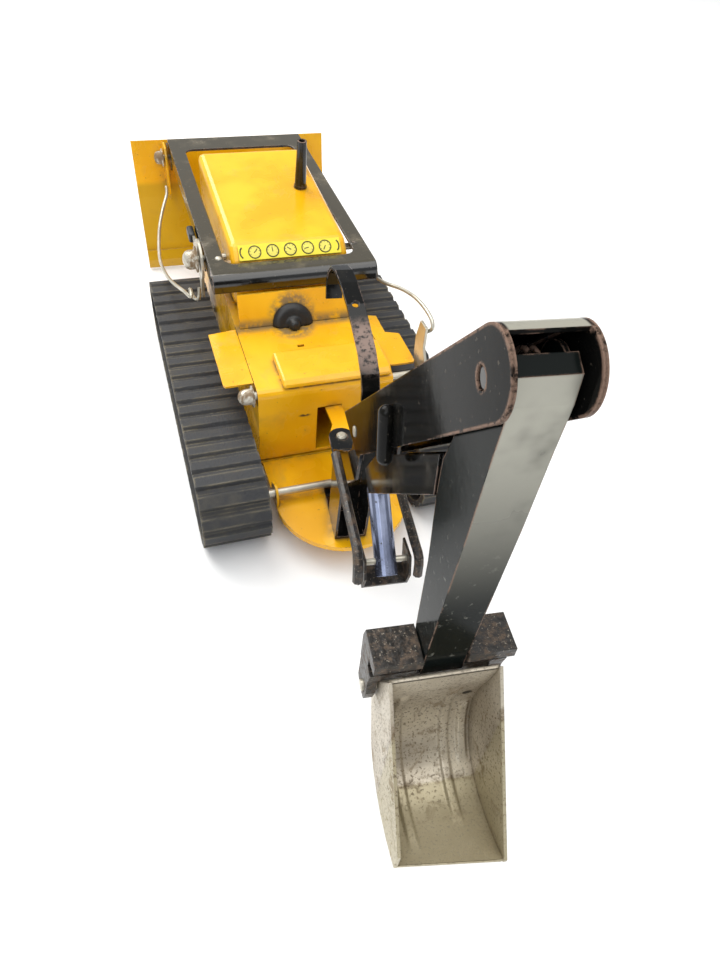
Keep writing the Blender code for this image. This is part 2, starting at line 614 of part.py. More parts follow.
def swing_to_body(r, w):
    """Body-frame (x, y) of a point on the arm."""
    turn = radians(SWING_ANGLE - 90.0)
    return r * cos(turn) - w * sin(turn), ARM_ROOT_Y + r * sin(turn) + w * cos(turn)


SWING_POINTS = {"kingpin": swing_to_body(KINGPIN_R, 0.0)}


def across(outline, low, high, name, colour, pivot, **options):
    """Make a piece of the arm from an (r, z) outline, between two w positions."""
    bm = prism(outline, "y", low, high)
    return make(name, bm, colour, (pivot[0], 0.0, pivot[1]), SWING, **options)


def pin(name, place, half, radius, colour="zinc"):
    bm = rod((place[0], -half, place[1]), (place[0], half, place[1]), radius, 14)
    return make(name, bm, colour, (place[0], 0.0, place[1]), SWING, smooth=True)


def round_cut(obj, place, radius):
    boolean(obj, rod((place[0], -40, place[1]), (place[0], 40, place[1]), radius, 16))


def build_mast():
    """Swing mast: a bent channel that turns on the kingpin and carries the boom."""
    foot = PLATE_Z + GAP
    wall = MAST_HALF - SHEET
    outline = [(KINGPIN_R, foot), (31.0, foot), (34.0, 55.0), (55.0, 81.5)]
    outline += arc(BOOM_PIVOT, 6.4, -25, 205, 12)
    outline += [(45.4, 88.5), (38.0, 80.0), (WEB_R, 58.0), (WEB_R, foot + 1.4), (KINGPIN_R, foot + 1.4)]
    mast = across(outline, -MAST_HALF, MAST_HALF, "swing_mast", "black", (KINGPIN_R, 0.0))
    inner = [(WEB_R + 1.2, foot + 1.4), (60.0, foot + 1.4), (90.0, 97.0), (80.0, 130.0), (28.0, 130.0),
             (28.0, 72.0), (WEB_R + 1.2, 57.8)]
    boolean(mast, prism(inner, "y", -wall, wall))
    lug = arc((KINGPIN_R, 0.0), 6.0, 90, 270, 12) + [(WEB_R + 0.6, -6.0), (WEB_R + 0.6, 6.0)]
    boolean(mast, prism(lug, "z", TAB_Z + SHEET + GAP, 47.9), "UNION")
    boolean(mast, rod((KINGPIN_R, 0, 0), (KINGPIN_R, 0, 70), KINGPIN_RADIUS + GAP, 16))
    round_cut(mast, BOOM_PIVOT, BOOM_PIN_RADIUS + GAP)
    for name, low, high in (("kingpin_foot", 10.6, 17.3), ("kingpin_head", 43.8, 49.4)):
        king = lathe([(2.0, low), (KINGPIN_RADIUS, low + 0.6), (KINGPIN_RADIUS, high - 0.8), (1.7, high)], 16)
        king.transform(Matrix.Translation((KINGPIN_R, 0.0, 0.0)))
        make(name, king, "zinc", (KINGPIN_R, 0.0, 0.0), SWING, smooth=True)


def boom_outlines():
    """The boom's outer profile, and the hollow inside it, open below and round the elbow."""
    run = Vector((ELBOW[0] - 43.3, ELBOW[1] - 94.5)).normalized()
    up = Vector((-run.y, run.x))
    tilt = atan2(run.y, run.x) * 180 / pi
    elbow = Vector(ELBOW)
    half = BOOM_DEPTH / 2

    def along(height):
        start = elbow + up * height
        reach = (HEEL_Z - start.y) / run.y
        return tuple(start + run * reach)

    outer = [along(half), *arc(ELBOW, ELBOW_RADIUS, tilt + 90, tilt - 90, 22), along(-half)]
    hollow = [along(half - SHEET), *arc(ELBOW, ELBOW_RADIUS - SHEET, tilt + 90, 92, 8)]
    hollow += [(ELBOW[0] - 0.3, ELBOW[1] + 20.0), (ELBOW[0] + 25.0, ELBOW[1] + 20.0)]
    hollow += [(ELBOW[0] + 25.0, ELBOW[1] - 40.0), tuple(Vector(along(-half)) - up * 25.0)]
    hollow += [tuple(Vector(along(half - SHEET)) - run * 12.0)]
    return outer, hollow, run, up


def build_boom():
    """Boom: a folded channel with round ends to its cheeks, and the link channel below it."""
    outer, hollow, run, up = boom_outlines()
    boom = across(outer, -BOOM_HALF, BOOM_HALF, "boom", "black", BOOM_PIVOT)
    boolean(boom, prism(hollow, "y", SHEET - BOOM_HALF, BOOM_HALF - SHEET))
    round_cut(boom, BOOM_PIVOT, BOOM_PIN_RADIUS + GAP)
    round_cut(boom, ELBOW_PIN, ELBOW_PIN_RADIUS + GAP)
    pin("boom_pin", BOOM_PIVOT, BOOM_HALF + 0.4, BOOM_PIN_RADIUS, "black")
    pin("elbow_pin", ELBOW_PIN, BOOM_HALF - 0.4, ELBOW_PIN_RADIUS, "black")

    elbow = Vector(ELBOW)
    start = elbow + up * LINK_LOW - run * 132.0
    end = elbow + up * LINK_LOW - run * 52.0
    channel = [tuple(start), tuple(end), tuple(end + Vector((-2.0, 12.5))),
               tuple(start + up * LINK_DEPTH + run * 18.0), tuple(start + up * 9.0 - run * 3.0)]
    link = across(channel, -LINK_HALF, LINK_HALF, "link_channel", "black", BOOM_PIVOT)
    floor = start + up * 1.2
    inner = [tuple(floor - run * 20), tuple(floor + run * 120), tuple(floor + up * 30 + run * 120),
             tuple(floor + up * 30 - run * 20)]
    boolean(link, prism(inner, "y", SHEET - LINK_HALF, LINK_HALF - SHEET))


def build_lever():
    """Strap lever that stands over the cockpit from the boom's heel, leaning a little left."""
    route = [(37.0, 104.6), (36.6, 109.0), (33.5, 114.8), (26.5, 120.3), (16.0, 124.6), (7.0, 127.8),
             (-4.5, 130.0), (-13.0, 130.4), (-20.0, 128.4), (-25.0, 123.0), (-27.0, 116.0), (-26.0, 109.5)]
    bm = sheet(route, 1.3, "y", -STRAP_HALF, STRAP_HALF)
    for vert in bm.verts:
        vert.co.y -= STRAP_LEAN * (route[0][0] - vert.co.x)
    place = (BOOM_PIVOT[0], 0.0, BOOM_PIVOT[1])
    strap = make("strap_lever", bm, "black", place, SWING)
    hole_w = -STRAP_LEAN * (route[0][0] - 7.0)
    boolean(strap, rod((7.0, hole_w, 100.0), (7.0, hole_w, 150.0), 1.6, 12))


def build_stirrup():
    """Side rods, strut tube and bracket that hang under the boom's heel."""
    place = (BOOM_PIVOT[0], 0.0, BOOM_PIVOT[1])
    for side, hand in ((-1, "left"), (1, "right")):
        w = side * ROD_W
        end_w = side * (ROD_W + 0.5)
        thick = 2.0 if side < 0 else 1.9
        route = [(34.0, w, 75.0), (50.0, w, 74.0), (66.0, w, 73.0), (80.0, w, 72.0), (86.0, end_w, 69.5),
                 (88.0, end_w, 62.0)]
        side_rod = wire(f"{hand}_side_rod", smooth_route(route, 3), thick, "black", SWING)
        side_rod.location = (0.0, 0.0, 0.0)
    strut = rod((60.5, 0, 82.7), (86.5, 0, 61.5), 4.2, 20)
    tube = make("strut_tube", strut, "black", place, SWING, smooth=True)
    round_cut(tube, BRACKET_PIN, BRACKET_PIN_RADIUS + GAP)
    pin("bracket_pin", BRACKET_PIN, BRACKET_HALF - 0.2, BRACKET_PIN_RADIUS)
    cheek = [(75.0, 68.5), (85.0, 69.5), (88.0, 62.0), (86.0, 54.5), (79.0, 56.5)]
    bracket = across(cheek, -BRACKET_HALF, BRACKET_HALF, "bracket", "black", BOOM_PIVOT)
    wall = BRACKET_HALF - 0.9
    boolean(bracket, prism([(60.0, 63.5), (100.0, 51.7), (100.0, 90.0), (60.0, 90.0)], "y", -wall, wall))
    round_cut(bracket, BRACKET_PIN, BRACKET_PIN_RADIUS + GAP)


def build_dipper():
    """Dipper arm: a folded channel from the elbow to the yoke, open at its back."""
    knuckle = 6.6
    outline = [(143.2, 92.5), (145.0, 130.0), (146.4, 160.0), (147.0, 185.0), (147.6, 198.0)]
    outline += [(147.0, 204.6), (143.0, 206.6), *arc(ELBOW_PIN, knuckle, 70, 180, 7)]
    outline += [(128.5, 175.0), (125.2, 163.0), (126.0, 152.0), (130.4, 130.3), (132.7, 104.8), (134.0, 92.5)]
    dipper = across(outline, -DIPPER_HALF, DIPPER_HALF, "dipper", "black", ELBOW_PIN)
    inner = [(142.1, 80.0), (143.9, 130.0), (145.3, 160.0), (145.9, 185.0), (146.4, 198.0), (145.6, 203.6),
             (142.6, 205.2), (120.0, 205.2), (100.0, 190.0), (100.0, 80.0)]
    boolean(dipper, prism(inner, "y", SHEET - DIPPER_HALF, DIPPER_HALF - SHEET))
    round_cut(dipper, ELBOW_PIN, ELBOW_PIN_RADIUS + GAP)

    bar = [(131.0, 86.5), (140.6, 86.5), (141.8, 92.2), (138.6, 93.0), (138.6, 96.9), (144.5, 98.0),
           (144.5, 102.0), (132.0, 102.0), (130.5, 97.0)]
    yoke = across(bar, -YOKE_HALF, YOKE_HALF, "yoke", "black", ELBOW_PIN)
    room = DIPPER_HALF + GAP
    boolean(yoke, prism([(120.0, 80.0), (148.0, 92.2), (148.0, 120.0), (120.0, 120.0)], "y", -room, room))
    for side in (-1, 1):
        low, high = sorted((side * (YOKE_HALF - 3.0), side * YOKE_HALF))
        ear = [(131.5, 88.0), (131.5, 76.0), (135.0, 73.5), (139.5, 74.5), (141.0, 80.0), (140.6, 88.0)]
        boolean(yoke, prism(ear, "y", low + 0.001 * side, high - 0.001 * side), "UNION")
    round_cut(yoke, BUCKET_PIVOT, BUCKET_PIN_RADIUS + GAP)


def build_bucket():
    """Zinc bucket, open outwards, hung between the yoke's ears."""
    back = [(145.5, 96.0), (143.6, 86.0), (141.0, 76.0), (139.6, 66.0), (140.6, 58.5), (143.0, 52.5),
            (146.5, 47.6), (151.0, 43.9), (156.5, 41.4), (163.0, 40.2), (171.0, 41.0), (178.0, 43.0),
            (184.6, 46.0)]
    rim = offset_path(back, -0.35)
    lug = [(146.8, 97.2), (140.0, 85.0), (133.0, 83.5), (132.0, 76.0), (137.0, 66.0)]
    cheek = [*lug, *rim[4:], (185.2, 47.1)]
    scoop = back + offset_path(back, 1.0)[::-1]
    inside = BUCKET_HALF - 0.5
    bucket = across(scoop, -inside, inside, "bucket", "zinc", BUCKET_PIVOT)
    for side in (-1, 1):
        low, high = sorted((side * (BUCKET_HALF - 1.0), side * BUCKET_HALF))
        boolean(bucket, prism(cheek, "y", low, high), "UNION")
    worn = [(179.0, -25.0), (186.0, 25.0), (200.0, 25.0), (200.0, -25.0)]
    boolean(bucket, prism(worn, "z", 30.0, 60.0))
    round_cut(bucket, BUCKET_PIVOT, BUCKET_PIN_RADIUS + GAP)
    pin("bucket_pin", BUCKET_PIVOT, YOKE_HALF + 0.8, BUCKET_PIN_RADIUS)


def main():
    build_crawler()
    build_body()
    build_hood()
    build_tab()
    build_blade()
    build_frame()
    build_controls()
    build_mast()
    build_boom()
    build_lever()
    build_stirrup()
    build_dipper()
    build_bucket()


main()
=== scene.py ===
"""Looks for the toy bulldozer with a backhoe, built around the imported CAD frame.

Everything is in metres in the frame's own axes: +Y forward, +X to the right, +Z up.
"""
import json
from math import atan2, cos, pi, radians, sin

import bmesh
import bpy
from mathutils import Matrix, Vector


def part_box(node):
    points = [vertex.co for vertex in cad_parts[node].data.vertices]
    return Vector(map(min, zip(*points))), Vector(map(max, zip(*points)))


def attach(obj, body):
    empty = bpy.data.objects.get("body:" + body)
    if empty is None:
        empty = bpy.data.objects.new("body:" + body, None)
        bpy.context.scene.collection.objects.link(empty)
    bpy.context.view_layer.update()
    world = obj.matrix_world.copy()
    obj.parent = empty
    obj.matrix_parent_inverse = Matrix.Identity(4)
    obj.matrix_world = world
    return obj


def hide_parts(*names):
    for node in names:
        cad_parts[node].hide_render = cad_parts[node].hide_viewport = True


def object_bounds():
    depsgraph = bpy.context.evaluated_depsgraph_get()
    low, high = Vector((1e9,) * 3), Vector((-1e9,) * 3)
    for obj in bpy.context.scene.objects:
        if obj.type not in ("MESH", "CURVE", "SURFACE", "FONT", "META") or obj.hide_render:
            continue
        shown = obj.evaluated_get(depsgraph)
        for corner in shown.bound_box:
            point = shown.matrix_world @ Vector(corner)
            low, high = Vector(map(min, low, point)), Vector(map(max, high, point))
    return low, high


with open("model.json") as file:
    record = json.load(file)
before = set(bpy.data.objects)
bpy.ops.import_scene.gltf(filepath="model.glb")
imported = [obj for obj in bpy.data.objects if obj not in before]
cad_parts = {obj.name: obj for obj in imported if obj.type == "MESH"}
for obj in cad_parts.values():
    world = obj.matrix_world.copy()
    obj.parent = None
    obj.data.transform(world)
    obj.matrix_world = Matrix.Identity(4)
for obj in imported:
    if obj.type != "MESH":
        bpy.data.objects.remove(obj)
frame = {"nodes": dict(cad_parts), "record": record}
CAD_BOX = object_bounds()
NODES = frame["nodes"]
MM = 0.001
JOINTS = {row["name"]: row for row in frame["record"]["behaviour"]["joints"]}
ELBOW = Vector(JOINTS["dipper_swing"]["pos_m"])
ARM_SIDE = Vector(JOINTS["dipper_swing"]["axis"])
BUCKET_PIVOT = Vector(JOINTS["bucket_curl"]["pos_m"])
ARM_ACROSS = ARM_SIDE if ARM_SIDE.x > 0 else -ARM_SIDE
ARM_BACK = Vector((0, 0, 1)).cross(ARM_ACROSS)
SLOTS = {row["node"]: row["material_slot"] for row in frame["record"]["subparts"]}
BODIES = frame["record"]["behaviour"]["bodies"]
BODY_OF = {node: body for body, nodes in BODIES.items() for node in nodes}


# ---------------------------------------------------------------- node trees

class Tree:
    """A short way to write shader nodes."""

    def __init__(self, name):
        self.material = bpy.data.materials.new(name)
        self.material.use_nodes = True
        self.tree = self.material.node_tree
        self.shader = self.tree.nodes["Principled BSDF"]
        self.coords = self.tree.nodes.new("ShaderNodeTexCoord").outputs["Object"]

    def node(self, kind, inputs=(), **settings):
        item = self.tree.nodes.new(kind)
        for key, value in settings.items():
            setattr(item, key, value)
        for key, value in dict(inputs).items():
            self.put(item.inputs[key], value)
        return item

    def put(self, socket, value):
        if isinstance(value, bpy.types.NodeSocket):
            self.tree.links.new(value, socket)
        elif isinstance(value, (tuple, list)) and len(value) == 3 and socket.type == "RGBA":
            socket.default_value = (*value, 1.0)
        else:
            socket.default_value = value

    def noise(self, scale, detail=4.0, rough=0.55, distort=0.0, stretch=None):
        vector = self.coords if stretch is None else self.scaled(stretch)
        inputs = {"Vector": vector, "Scale": scale, "Detail": detail}
        inputs.update({"Roughness": rough, "Distortion": distort})
        return self.node("ShaderNodeTexNoise", inputs).outputs["Fac"]

    def scaled(self, stretch):
        return self.node("ShaderNodeMapping", {"Vector": self.coords, "Scale": stretch}).outputs[0]

    def band(self, value, low, high):
        """0 below low, 1 above high, smooth between."""
        inputs = {0: value, "From Min": low, "From Max": high}
        return self.node("ShaderNodeMapRange", inputs, interpolation_type="SMOOTHSTEP").outputs[0]

    def patches(self, low, high, *noise):
        """Noise turned into patches: 0 where it is below low, 1 where it is above high."""
        return self.band(self.noise(*noise), low, high)

    def math(self, operation, a, b=0.0):
        """Arithmetic kept between 0 and 1."""
        return self.node("ShaderNodeMath", {0: a, 1: b}, operation=operation, use_clamp=True).outputs[0]

    def times(self, a, b):
        return self.math("MULTIPLY", a, b)

    def most(self, a, b):
        return self.math("MAXIMUM", a, b)

    def inverse(self, value):
        return self.math("SUBTRACT", 1.0, value)

    def signed(self, operation, *values):
        """Arithmetic that may go below 0."""
        return self.node("ShaderNodeMath", dict(enumerate(values)), operation=operation).outputs[0]

    def dot(self, a, b):
        return self.node("ShaderNodeVectorMath", {0: a, 1: b}, operation="DOT_PRODUCT").outputs["Value"]

    def mix(self, factor, a, b):
        item = self.node("ShaderNodeMix", data_type="RGBA")
        self.put(item.inputs[0], factor)
        self.put(item.inputs[6], a)
        self.put(item.inputs[7], b)
        return item.outputs[2]

    def blend(self, factor, a, b):
        item = self.node("ShaderNodeMix", data_type="FLOAT")
        self.put(item.inputs[0], factor)
        self.put(item.inputs[2], a)
        self.put(item.inputs[3], b)
        return item.outputs[0]

    def axis(self, index):
        return self.node("ShaderNodeSeparateXYZ", {0: self.coords}).outputs[index]

    def along(self, direction, origin):
        """Distance from the origin in a direction."""
        return self.signed("SUBTRACT", self.dot(self.coords, tuple(direction)), origin.dot(direction))

    def edges(self, radius, low=0.06, high=0.22):
        """1 along edges, 0 on flats."""
        soft = self.node("ShaderNodeBevel", {"Radius": radius}, samples=6).outputs[0]
        hard = self.node("ShaderNodeNewGeometry").outputs["True Normal"]
        return self.band(self.inverse(self.dot(soft, hard)), low, high)

    def near(self, point, low, high, flat=None):
        """1 within low of the point, 0 beyond high; flat scales the axes first."""
        vector = self.coords
        if flat is not None:
            vector = self.node("ShaderNodeVectorMath", {0: vector, 1: flat}, operation="MULTIPLY").outputs[0]
            point = [p * f for p, f in zip(point, flat)]
        away = self.node("ShaderNodeVectorMath", {0: vector, 1: tuple(point)}, operation="DISTANCE")
        return self.inverse(self.band(away.outputs["Value"], low, high))

    def faces(self, direction, low=0.5, high=0.8):
        """1 where the surface looks towards a direction fixed to the piece."""
        normal = self.node("ShaderNodeTexCoord").outputs["Normal"]
        return self.band(self.dot(normal, tuple(direction)), low, high)

    def open_sky(self, distance):
        """1 in the open, 0 deep in corners."""
        return self.node("ShaderNodeAmbientOcclusion", {"Distance": distance}, samples=8).outputs["AO"]

    def crevice(self, distance, low=0.25, high=0.85):
        """1 deep in corners, 0 in the open."""
        return self.inverse(self.band(self.open_sky(distance), low, high))

    def scratches(self, density=0.74):
        """Thin streaks in two directions."""
        one = self.patches(density, density + 0.02, 90.0, 3.0, 0.5, 0.0, (1.0, 0.05, 1.0))
        two = self.patches(density, density + 0.02, 110.0, 3.0, 0.5, 0.0, (0.06, 1.0, 0.4))
        return self.most(one, two)

    def surface(self, colour, roughness, metallic=0.0, height=None, depth=0.4 * MM, round_edges=0.4 * MM,
                **constants):
        """Connect the shader; constants go straight onto its sockets."""
        self.put(self.shader.inputs["Base Color"], colour)
        self.put(self.shader.inputs["Roughness"], roughness)
        self.put(self.shader.inputs["Metallic"], metallic)
        for key, value in constants.items():
            self.shader.inputs[key.replace("_", " ")].default_value = value
        normal = None
        if round_edges:
            normal = self.node("ShaderNodeBevel", {"Radius": round_edges}, samples=6).outputs[0]
        if height is not None:
            inputs = {"Height": height, "Distance": depth, "Strength": 1.0}
            if normal is not None:
                inputs["Normal"] = normal
            normal = self.node("ShaderNodeBump", inputs).outputs[0]
        if normal is not None:
            self.put(self.shader.inputs["Normal"], normal)
        return self.material


# ---------------------------------------------------------------- materials

ENAMEL = (0.93, 0.50, 0.004)
ENAMEL_DEEP = (0.80, 0.385, 0.003)
ENAMEL_PAINTED_SHADE = (0.42, 0.26, 0.004)
ENAMEL_FILM = (0.36, 0.20, 0.03)
ENAMEL_SCRATCH = (0.20, 0.11, 0.04)
ENAMEL_SPECK = (0.10, 0.05, 0.02)
ENAMEL_GOUGE = (0.07, 0.04, 0.02)
CORNER_DARK = (0.085, 0.060, 0.030)
SEAM_DIRT = (0.16, 0.12, 0.07)
BARE_RUST = (0.13, 0.065, 0.035)
COPPER = (0.30, 0.195, 0.145)
STRAP_COPPER = (0.24, 0.17, 0.14)
# Grey of the painted sheen across the elbow's top.
ELBOW_SHEEN_GREY = (0.29, 0.28, 0.235)
BLACK = (0.0045, 0.0045, 0.0042)
BLACK_DUST = (0.10, 0.085, 0.06)
BLACK_SPECK = (0.22, 0.19, 0.15)
BLACK_SCRATCH = (0.12, 0.11, 0.10)
# Lighter colour on the frame's upward faces: a painted reflection.
FRAME_TOP_REFLECTION = (0.056, 0.048, 0.031)
FRAME_DUST = (0.165, 0.137, 0.090)
DIPPER_BLACK = (0.005, 0.007, 0.0065)
# Grey of the dipper's painted reflection.
DIPPER_SHEEN = (0.43, 0.42, 0.36)
DIPPER_SPECK = (0.20, 0.20, 0.17)
RUSTY_DARK = (0.014, 0.012, 0.010)
RUSTY_BROWN = (0.11, 0.075, 0.05)
RUSTY_SPECK = (0.42, 0.36, 0.28)
ZINC_DARK = (0.46, 0.43, 0.35)
ZINC_PALE = (0.66, 0.63, 0.54)
ZINC_STAIN = (0.20, 0.13, 0.065)
ZINC_SCRATCH = (0.30, 0.25, 0.17)
SCOOP_DARK = (0.45, 0.39, 0.30)
SCOOP_PALE = (0.62, 0.56, 0.45)
SCOOP_LOW = (0.40, 0.345, 0.20)
SCOOP_SCRATCH = (0.33, 0.28, 0.19)
SOIL = (0.085, 0.055, 0.025)
SOIL_BLOT = (0.20, 0.14, 0.075)
SOIL_LINE = (0.13, 0.085, 0.04)
# Colour of the painted shade in the scoop's corners.
BUCKET_CORNER_SHADE = (0.15, 0.105, 0.055)
# Dark of the painted spot standing for a hole: painted shade.
HOLE_SHADE = (0.012, 0.011, 0.010)
STEEL_SHEEN_DARK = (0.15, 0.17, 0.25)
STEEL_SHEEN_PALE = (0.26, 0.29, 0.40)
STEEL_SPOT = (0.03, 0.028, 0.026)
RUBBER = (0.022, 0.023, 0.026)
RUBBER_DUST = (0.12, 0.11, 0.09)
RUBBER_GAP_SHADE = (0.004, 0.004, 0.006)
RUBBER_CREST = (0.20, 0.17, 0.11)
VINYL = (0.012, 0.012, 0.012)
DIAL_YELLOW = (0.86, 0.72, 0.03)
DIAL_INK = (0.035, 0.028, 0.012)
DIAL_FACE = (0.80, 0.70, 0.10)
FLOOR_PAINT = (0.9, 0.9, 0.9)


def yellow_enamel(name="yellow_enamel", dirtiness=1.0, seam=None, shade_below=None, gouge=None):
    """Toy enamel with a film of age, darkened corners, specks, scratches, chipped edges, and painted shade
    below a set height.
    """
    t = Tree(name)
    cloud = t.noise(28.0, 3.0)
    colour = t.mix(t.band(cloud, 0.35, 0.7), ENAMEL_DEEP, ENAMEL)
    film = t.patches(0.54, 0.76, 60.0, 6.0, 0.65, 0.6)
    colour = t.mix(t.times(film, 0.30 * dirtiness), colour, ENAMEL_FILM)
    # Corners darkened in patches by the occlusion mask.
    corner = t.times(t.crevice(10.0 * MM), t.patches(0.30, 0.56, 210.0, 5.0))
    colour = t.mix(t.times(corner, 0.85 * dirtiness), colour, CORNER_DARK)
    if seam is not None:
        line = t.near(seam, 0.4 * MM, 6.0 * MM, (0.0, 1.0, 1.0))
        line = t.times(line, t.patches(0.28, 0.52, 190.0, 6.0, 0.7))
        ring = t.times(t.near(BUTTON, 9.5 * MM, 15.0 * MM), t.patches(0.34, 0.60, 240.0, 6.0, 0.7))
        colour = t.mix(t.times(t.most(line, ring), 0.85), colour, SEAM_DIRT)
    if shade_below is not None:
        # Painted shade: the enamel is darkened below the given height.
        low = t.inverse(t.band(t.axis(2), shade_below, shade_below + 4.0 * MM))
        colour = t.mix(t.times(low, 0.6), colour, ENAMEL_PAINTED_SHADE)
    if gouge is not None:
        bare = t.near(gouge, 0.4 * MM, 1.2 * MM, (0.30, 1.0, 1.0))
        colour = t.mix(t.times(bare, t.patches(0.38, 0.5, 420.0, 4.0)), colour, ENAMEL_GOUGE)
    colour = t.mix(t.times(t.patches(0.71, 0.75, 520.0, 2.0), 0.55), colour, ENAMEL_SPECK)
    colour = t.mix(t.times(t.scratches(), 0.5), colour, ENAMEL_SCRATCH)
    chips = t.times(t.edges(0.7 * MM), t.patches(0.55, 0.60, 160.0, 4.0))
    colour = t.mix(chips, colour, BARE_RUST)
    rough = t.blend(t.band(cloud, 0.3, 0.7), 0.22, 0.34)
    rough = t.blend(t.most(t.most(film, corner), chips), rough, 0.62)
    height = t.blend(chips, t.times(t.noise(240.0, 2.0), 0.10), 0.0)
    return t.surface(colour, rough, 0.0, height, 0.2 * MM, Coat_Weight=0.22, Coat_Roughness=0.14)


def black_enamel(name="black_enamel", dustiness=0.30, worn=None, worn_colour=COPPER, gloss=0.45, sheen=None,
                 top_reflection=None, dust_colour=BLACK_DUST, round_edges=0.4 * MM):
    """Black enamel; worn gives a 0 to 1 mask of wear, the sheen mask one of painted grey sheen, and the top
    colour for upward faces is a painted reflection.
    """
    t = Tree(name)
    dust = t.patches(0.50, 0.80, 60.0, 5.0, 0.6)
    base_and_reflection = BLACK
    # Upward faces get a lighter colour: a painted reflection.
    if top_reflection is not None:
        dust = t.times(dust, t.faces((0, 0, 1), 0.85, 0.98))
        base_and_reflection = t.mix(t.faces((0, 0, 1), 0.85, 0.98), base_and_reflection, top_reflection)
    colour = t.mix(t.times(dust, dustiness), base_and_reflection, dust_colour)
    wear = t.times(t.edges(0.9 * MM), t.patches(0.47, 0.58, 120.0, 5.0))
    if worn is not None:
        wear = t.most(wear, t.times(worn(t), t.patches(0.38, 0.53, 430.0, 6.0, 0.7)))
    colour = t.mix(wear, colour, worn_colour)
    if sheen is not None:
        # Painted grey sheen where the sheen mask says.
        colour = t.mix(t.times(sheen(t), t.patches(0.25, 0.45, 70.0, 4.0)), colour, ELBOW_SHEEN_GREY)
    colour = t.mix(t.times(t.patches(0.68, 0.73, 600.0, 2.0), 0.25), colour, BLACK_SPECK)
    colour = t.mix(t.times(t.scratches(0.76), 0.25), colour, BLACK_SCRATCH)
    rough = t.blend(t.times(dust, dustiness * 2.0), 0.09, 0.30)
    rough = t.blend(wear, rough, 0.55)
    height = t.noise(150.0, 2.0)
    return t.surface(colour, rough, 0.0, height, 0.03 * MM, round_edges, Specular_IOR_Level=gloss)


def rim_zone(t):
    """1 at the edges of the two cheeks, 0 between them."""
    sideways = t.signed("ABSOLUTE", t.along(ARM_ACROSS, ELBOW))
    return t.band(sideways, CHEEK_HALF - 1.6 * MM, CHEEK_HALF - 1.0 * MM)


def cheek_wear(t):
    """Paint rubbed off round the elbow pin and along the rims of the round ends."""
    rim = t.times(rim_zone(t), t.near(ELBOW, 24.0 * MM, 36.0 * MM))
    rim = t.times(rim, t.edges(1.6 * MM, 0.01, 0.10))
    return t.most(t.times(t.near(ELBOW, 4.5 * MM, 9.0 * MM), 0.6), rim)


def elbow_sheen(t):
    """Grey on upward faces across the round top of the elbow, between the cheeks: painted sheen, partly
    enamel rubbed to grey.
    """
    high = t.band(t.axis(2), ELBOW.z + 4.0 * MM, ELBOW.z + 7.0 * MM)
    between = t.inverse(rim_zone(t))
    return t.times(t.times(high, between), t.faces((0, 0, 1), 0.25, 0.6))


def strap_wear(t):
    """Paint rubbed off one stretch of the strap."""
    low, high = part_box("strap_lever")
    along = high[1] - 0.80 * (high[1] - low[1])
    spot = ((low[0] + high[0]) / 2, along, high[2] - 0.34 * (high[2] - low[2]))
    return t.near(spot, 6.0 * MM, 14.0 * MM)


def dipper_enamel():
    """A painted reflection: grey sheen on the front at the elbow end, darker and speckled towards the
    bucket.
    """
    t = Tree("dipper_enamel")
    low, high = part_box("dipper")
    span = high[2] - low[2]
    # Painted reflection: a grey sheen in patches on the upper front.
    up = t.band(t.axis(2), low[2] + 0.25 * span, low[2] + 0.95 * span)
    front = t.faces(ARM_SIDE.cross(Vector((0, 0, 1))) * (-1 if ARM_SIDE.x < 0 else 1))
    sheen_patches = t.times(t.times(up, front), t.patches(0.20, 0.45, 30.0, 4.0))
    colour = t.mix(t.times(sheen_patches, 0.9), DIPPER_BLACK, DIPPER_SHEEN)
    specks = t.times(t.patches(0.60, 0.68, 420.0, 5.0, 0.7), t.inverse(up))
    colour = t.mix(t.times(specks, 0.45), colour, DIPPER_SPECK)
    wear = t.times(t.edges(0.9 * MM), t.patches(0.45, 0.56, 120.0, 5.0))
    colour = t.mix(wear, colour, COPPER)
    rough = t.blend(sheen_patches, 0.16, 0.36)
    rough = t.blend(wear, rough, 0.55)
    metal = t.times(sheen_patches, 0.5)
    return t.surface(colour, rough, metal, t.noise(150.0, 2.0), 0.04 * MM, Specular_IOR_Level=0.05)


def rusty_black():
    """Black paint gone to brown rust, with pale specks."""
    t = Tree("rusty_black")
    patch = t.patches(0.46, 0.64, 380.0, 8.0, 0.75)
    colour = t.mix(patch, RUSTY_DARK, RUSTY_BROWN)
    colour = t.mix(t.times(t.patches(0.64, 0.70, 1300.0, 2.0), 0.5), colour, RUSTY_SPECK)
    return t.surface(colour, t.blend(patch, 0.35, 0.75), 0.1, t.noise(500.0, 4.0), 0.3 * MM)


def aged_zinc(name="aged_zinc", stain_amount=0.7, low=0.56, metal=0.75):
    """Dull plating with brown stains and faint scratches."""
    t = Tree(name)
    cloud = t.noise(45.0, 5.0, 0.6)
    colour = t.mix(t.band(cloud, 0.35, 0.65), ZINC_DARK, ZINC_PALE)
    stain = t.patches(low, low + 0.14, 130.0, 7.0, 0.7, 0.5)
    colour = t.mix(t.times(stain, stain_amount), colour, ZINC_STAIN)
    colour = t.mix(t.times(t.scratches(0.73), 0.35), colour, ZINC_SCRATCH)
    rough = t.blend(stain, t.blend(cloud, 0.30, 0.48), 0.68)
    return t.surface(colour, rough, t.blend(stain, metal, 0.2), t.noise(400.0, 3.0), 0.08 * MM)


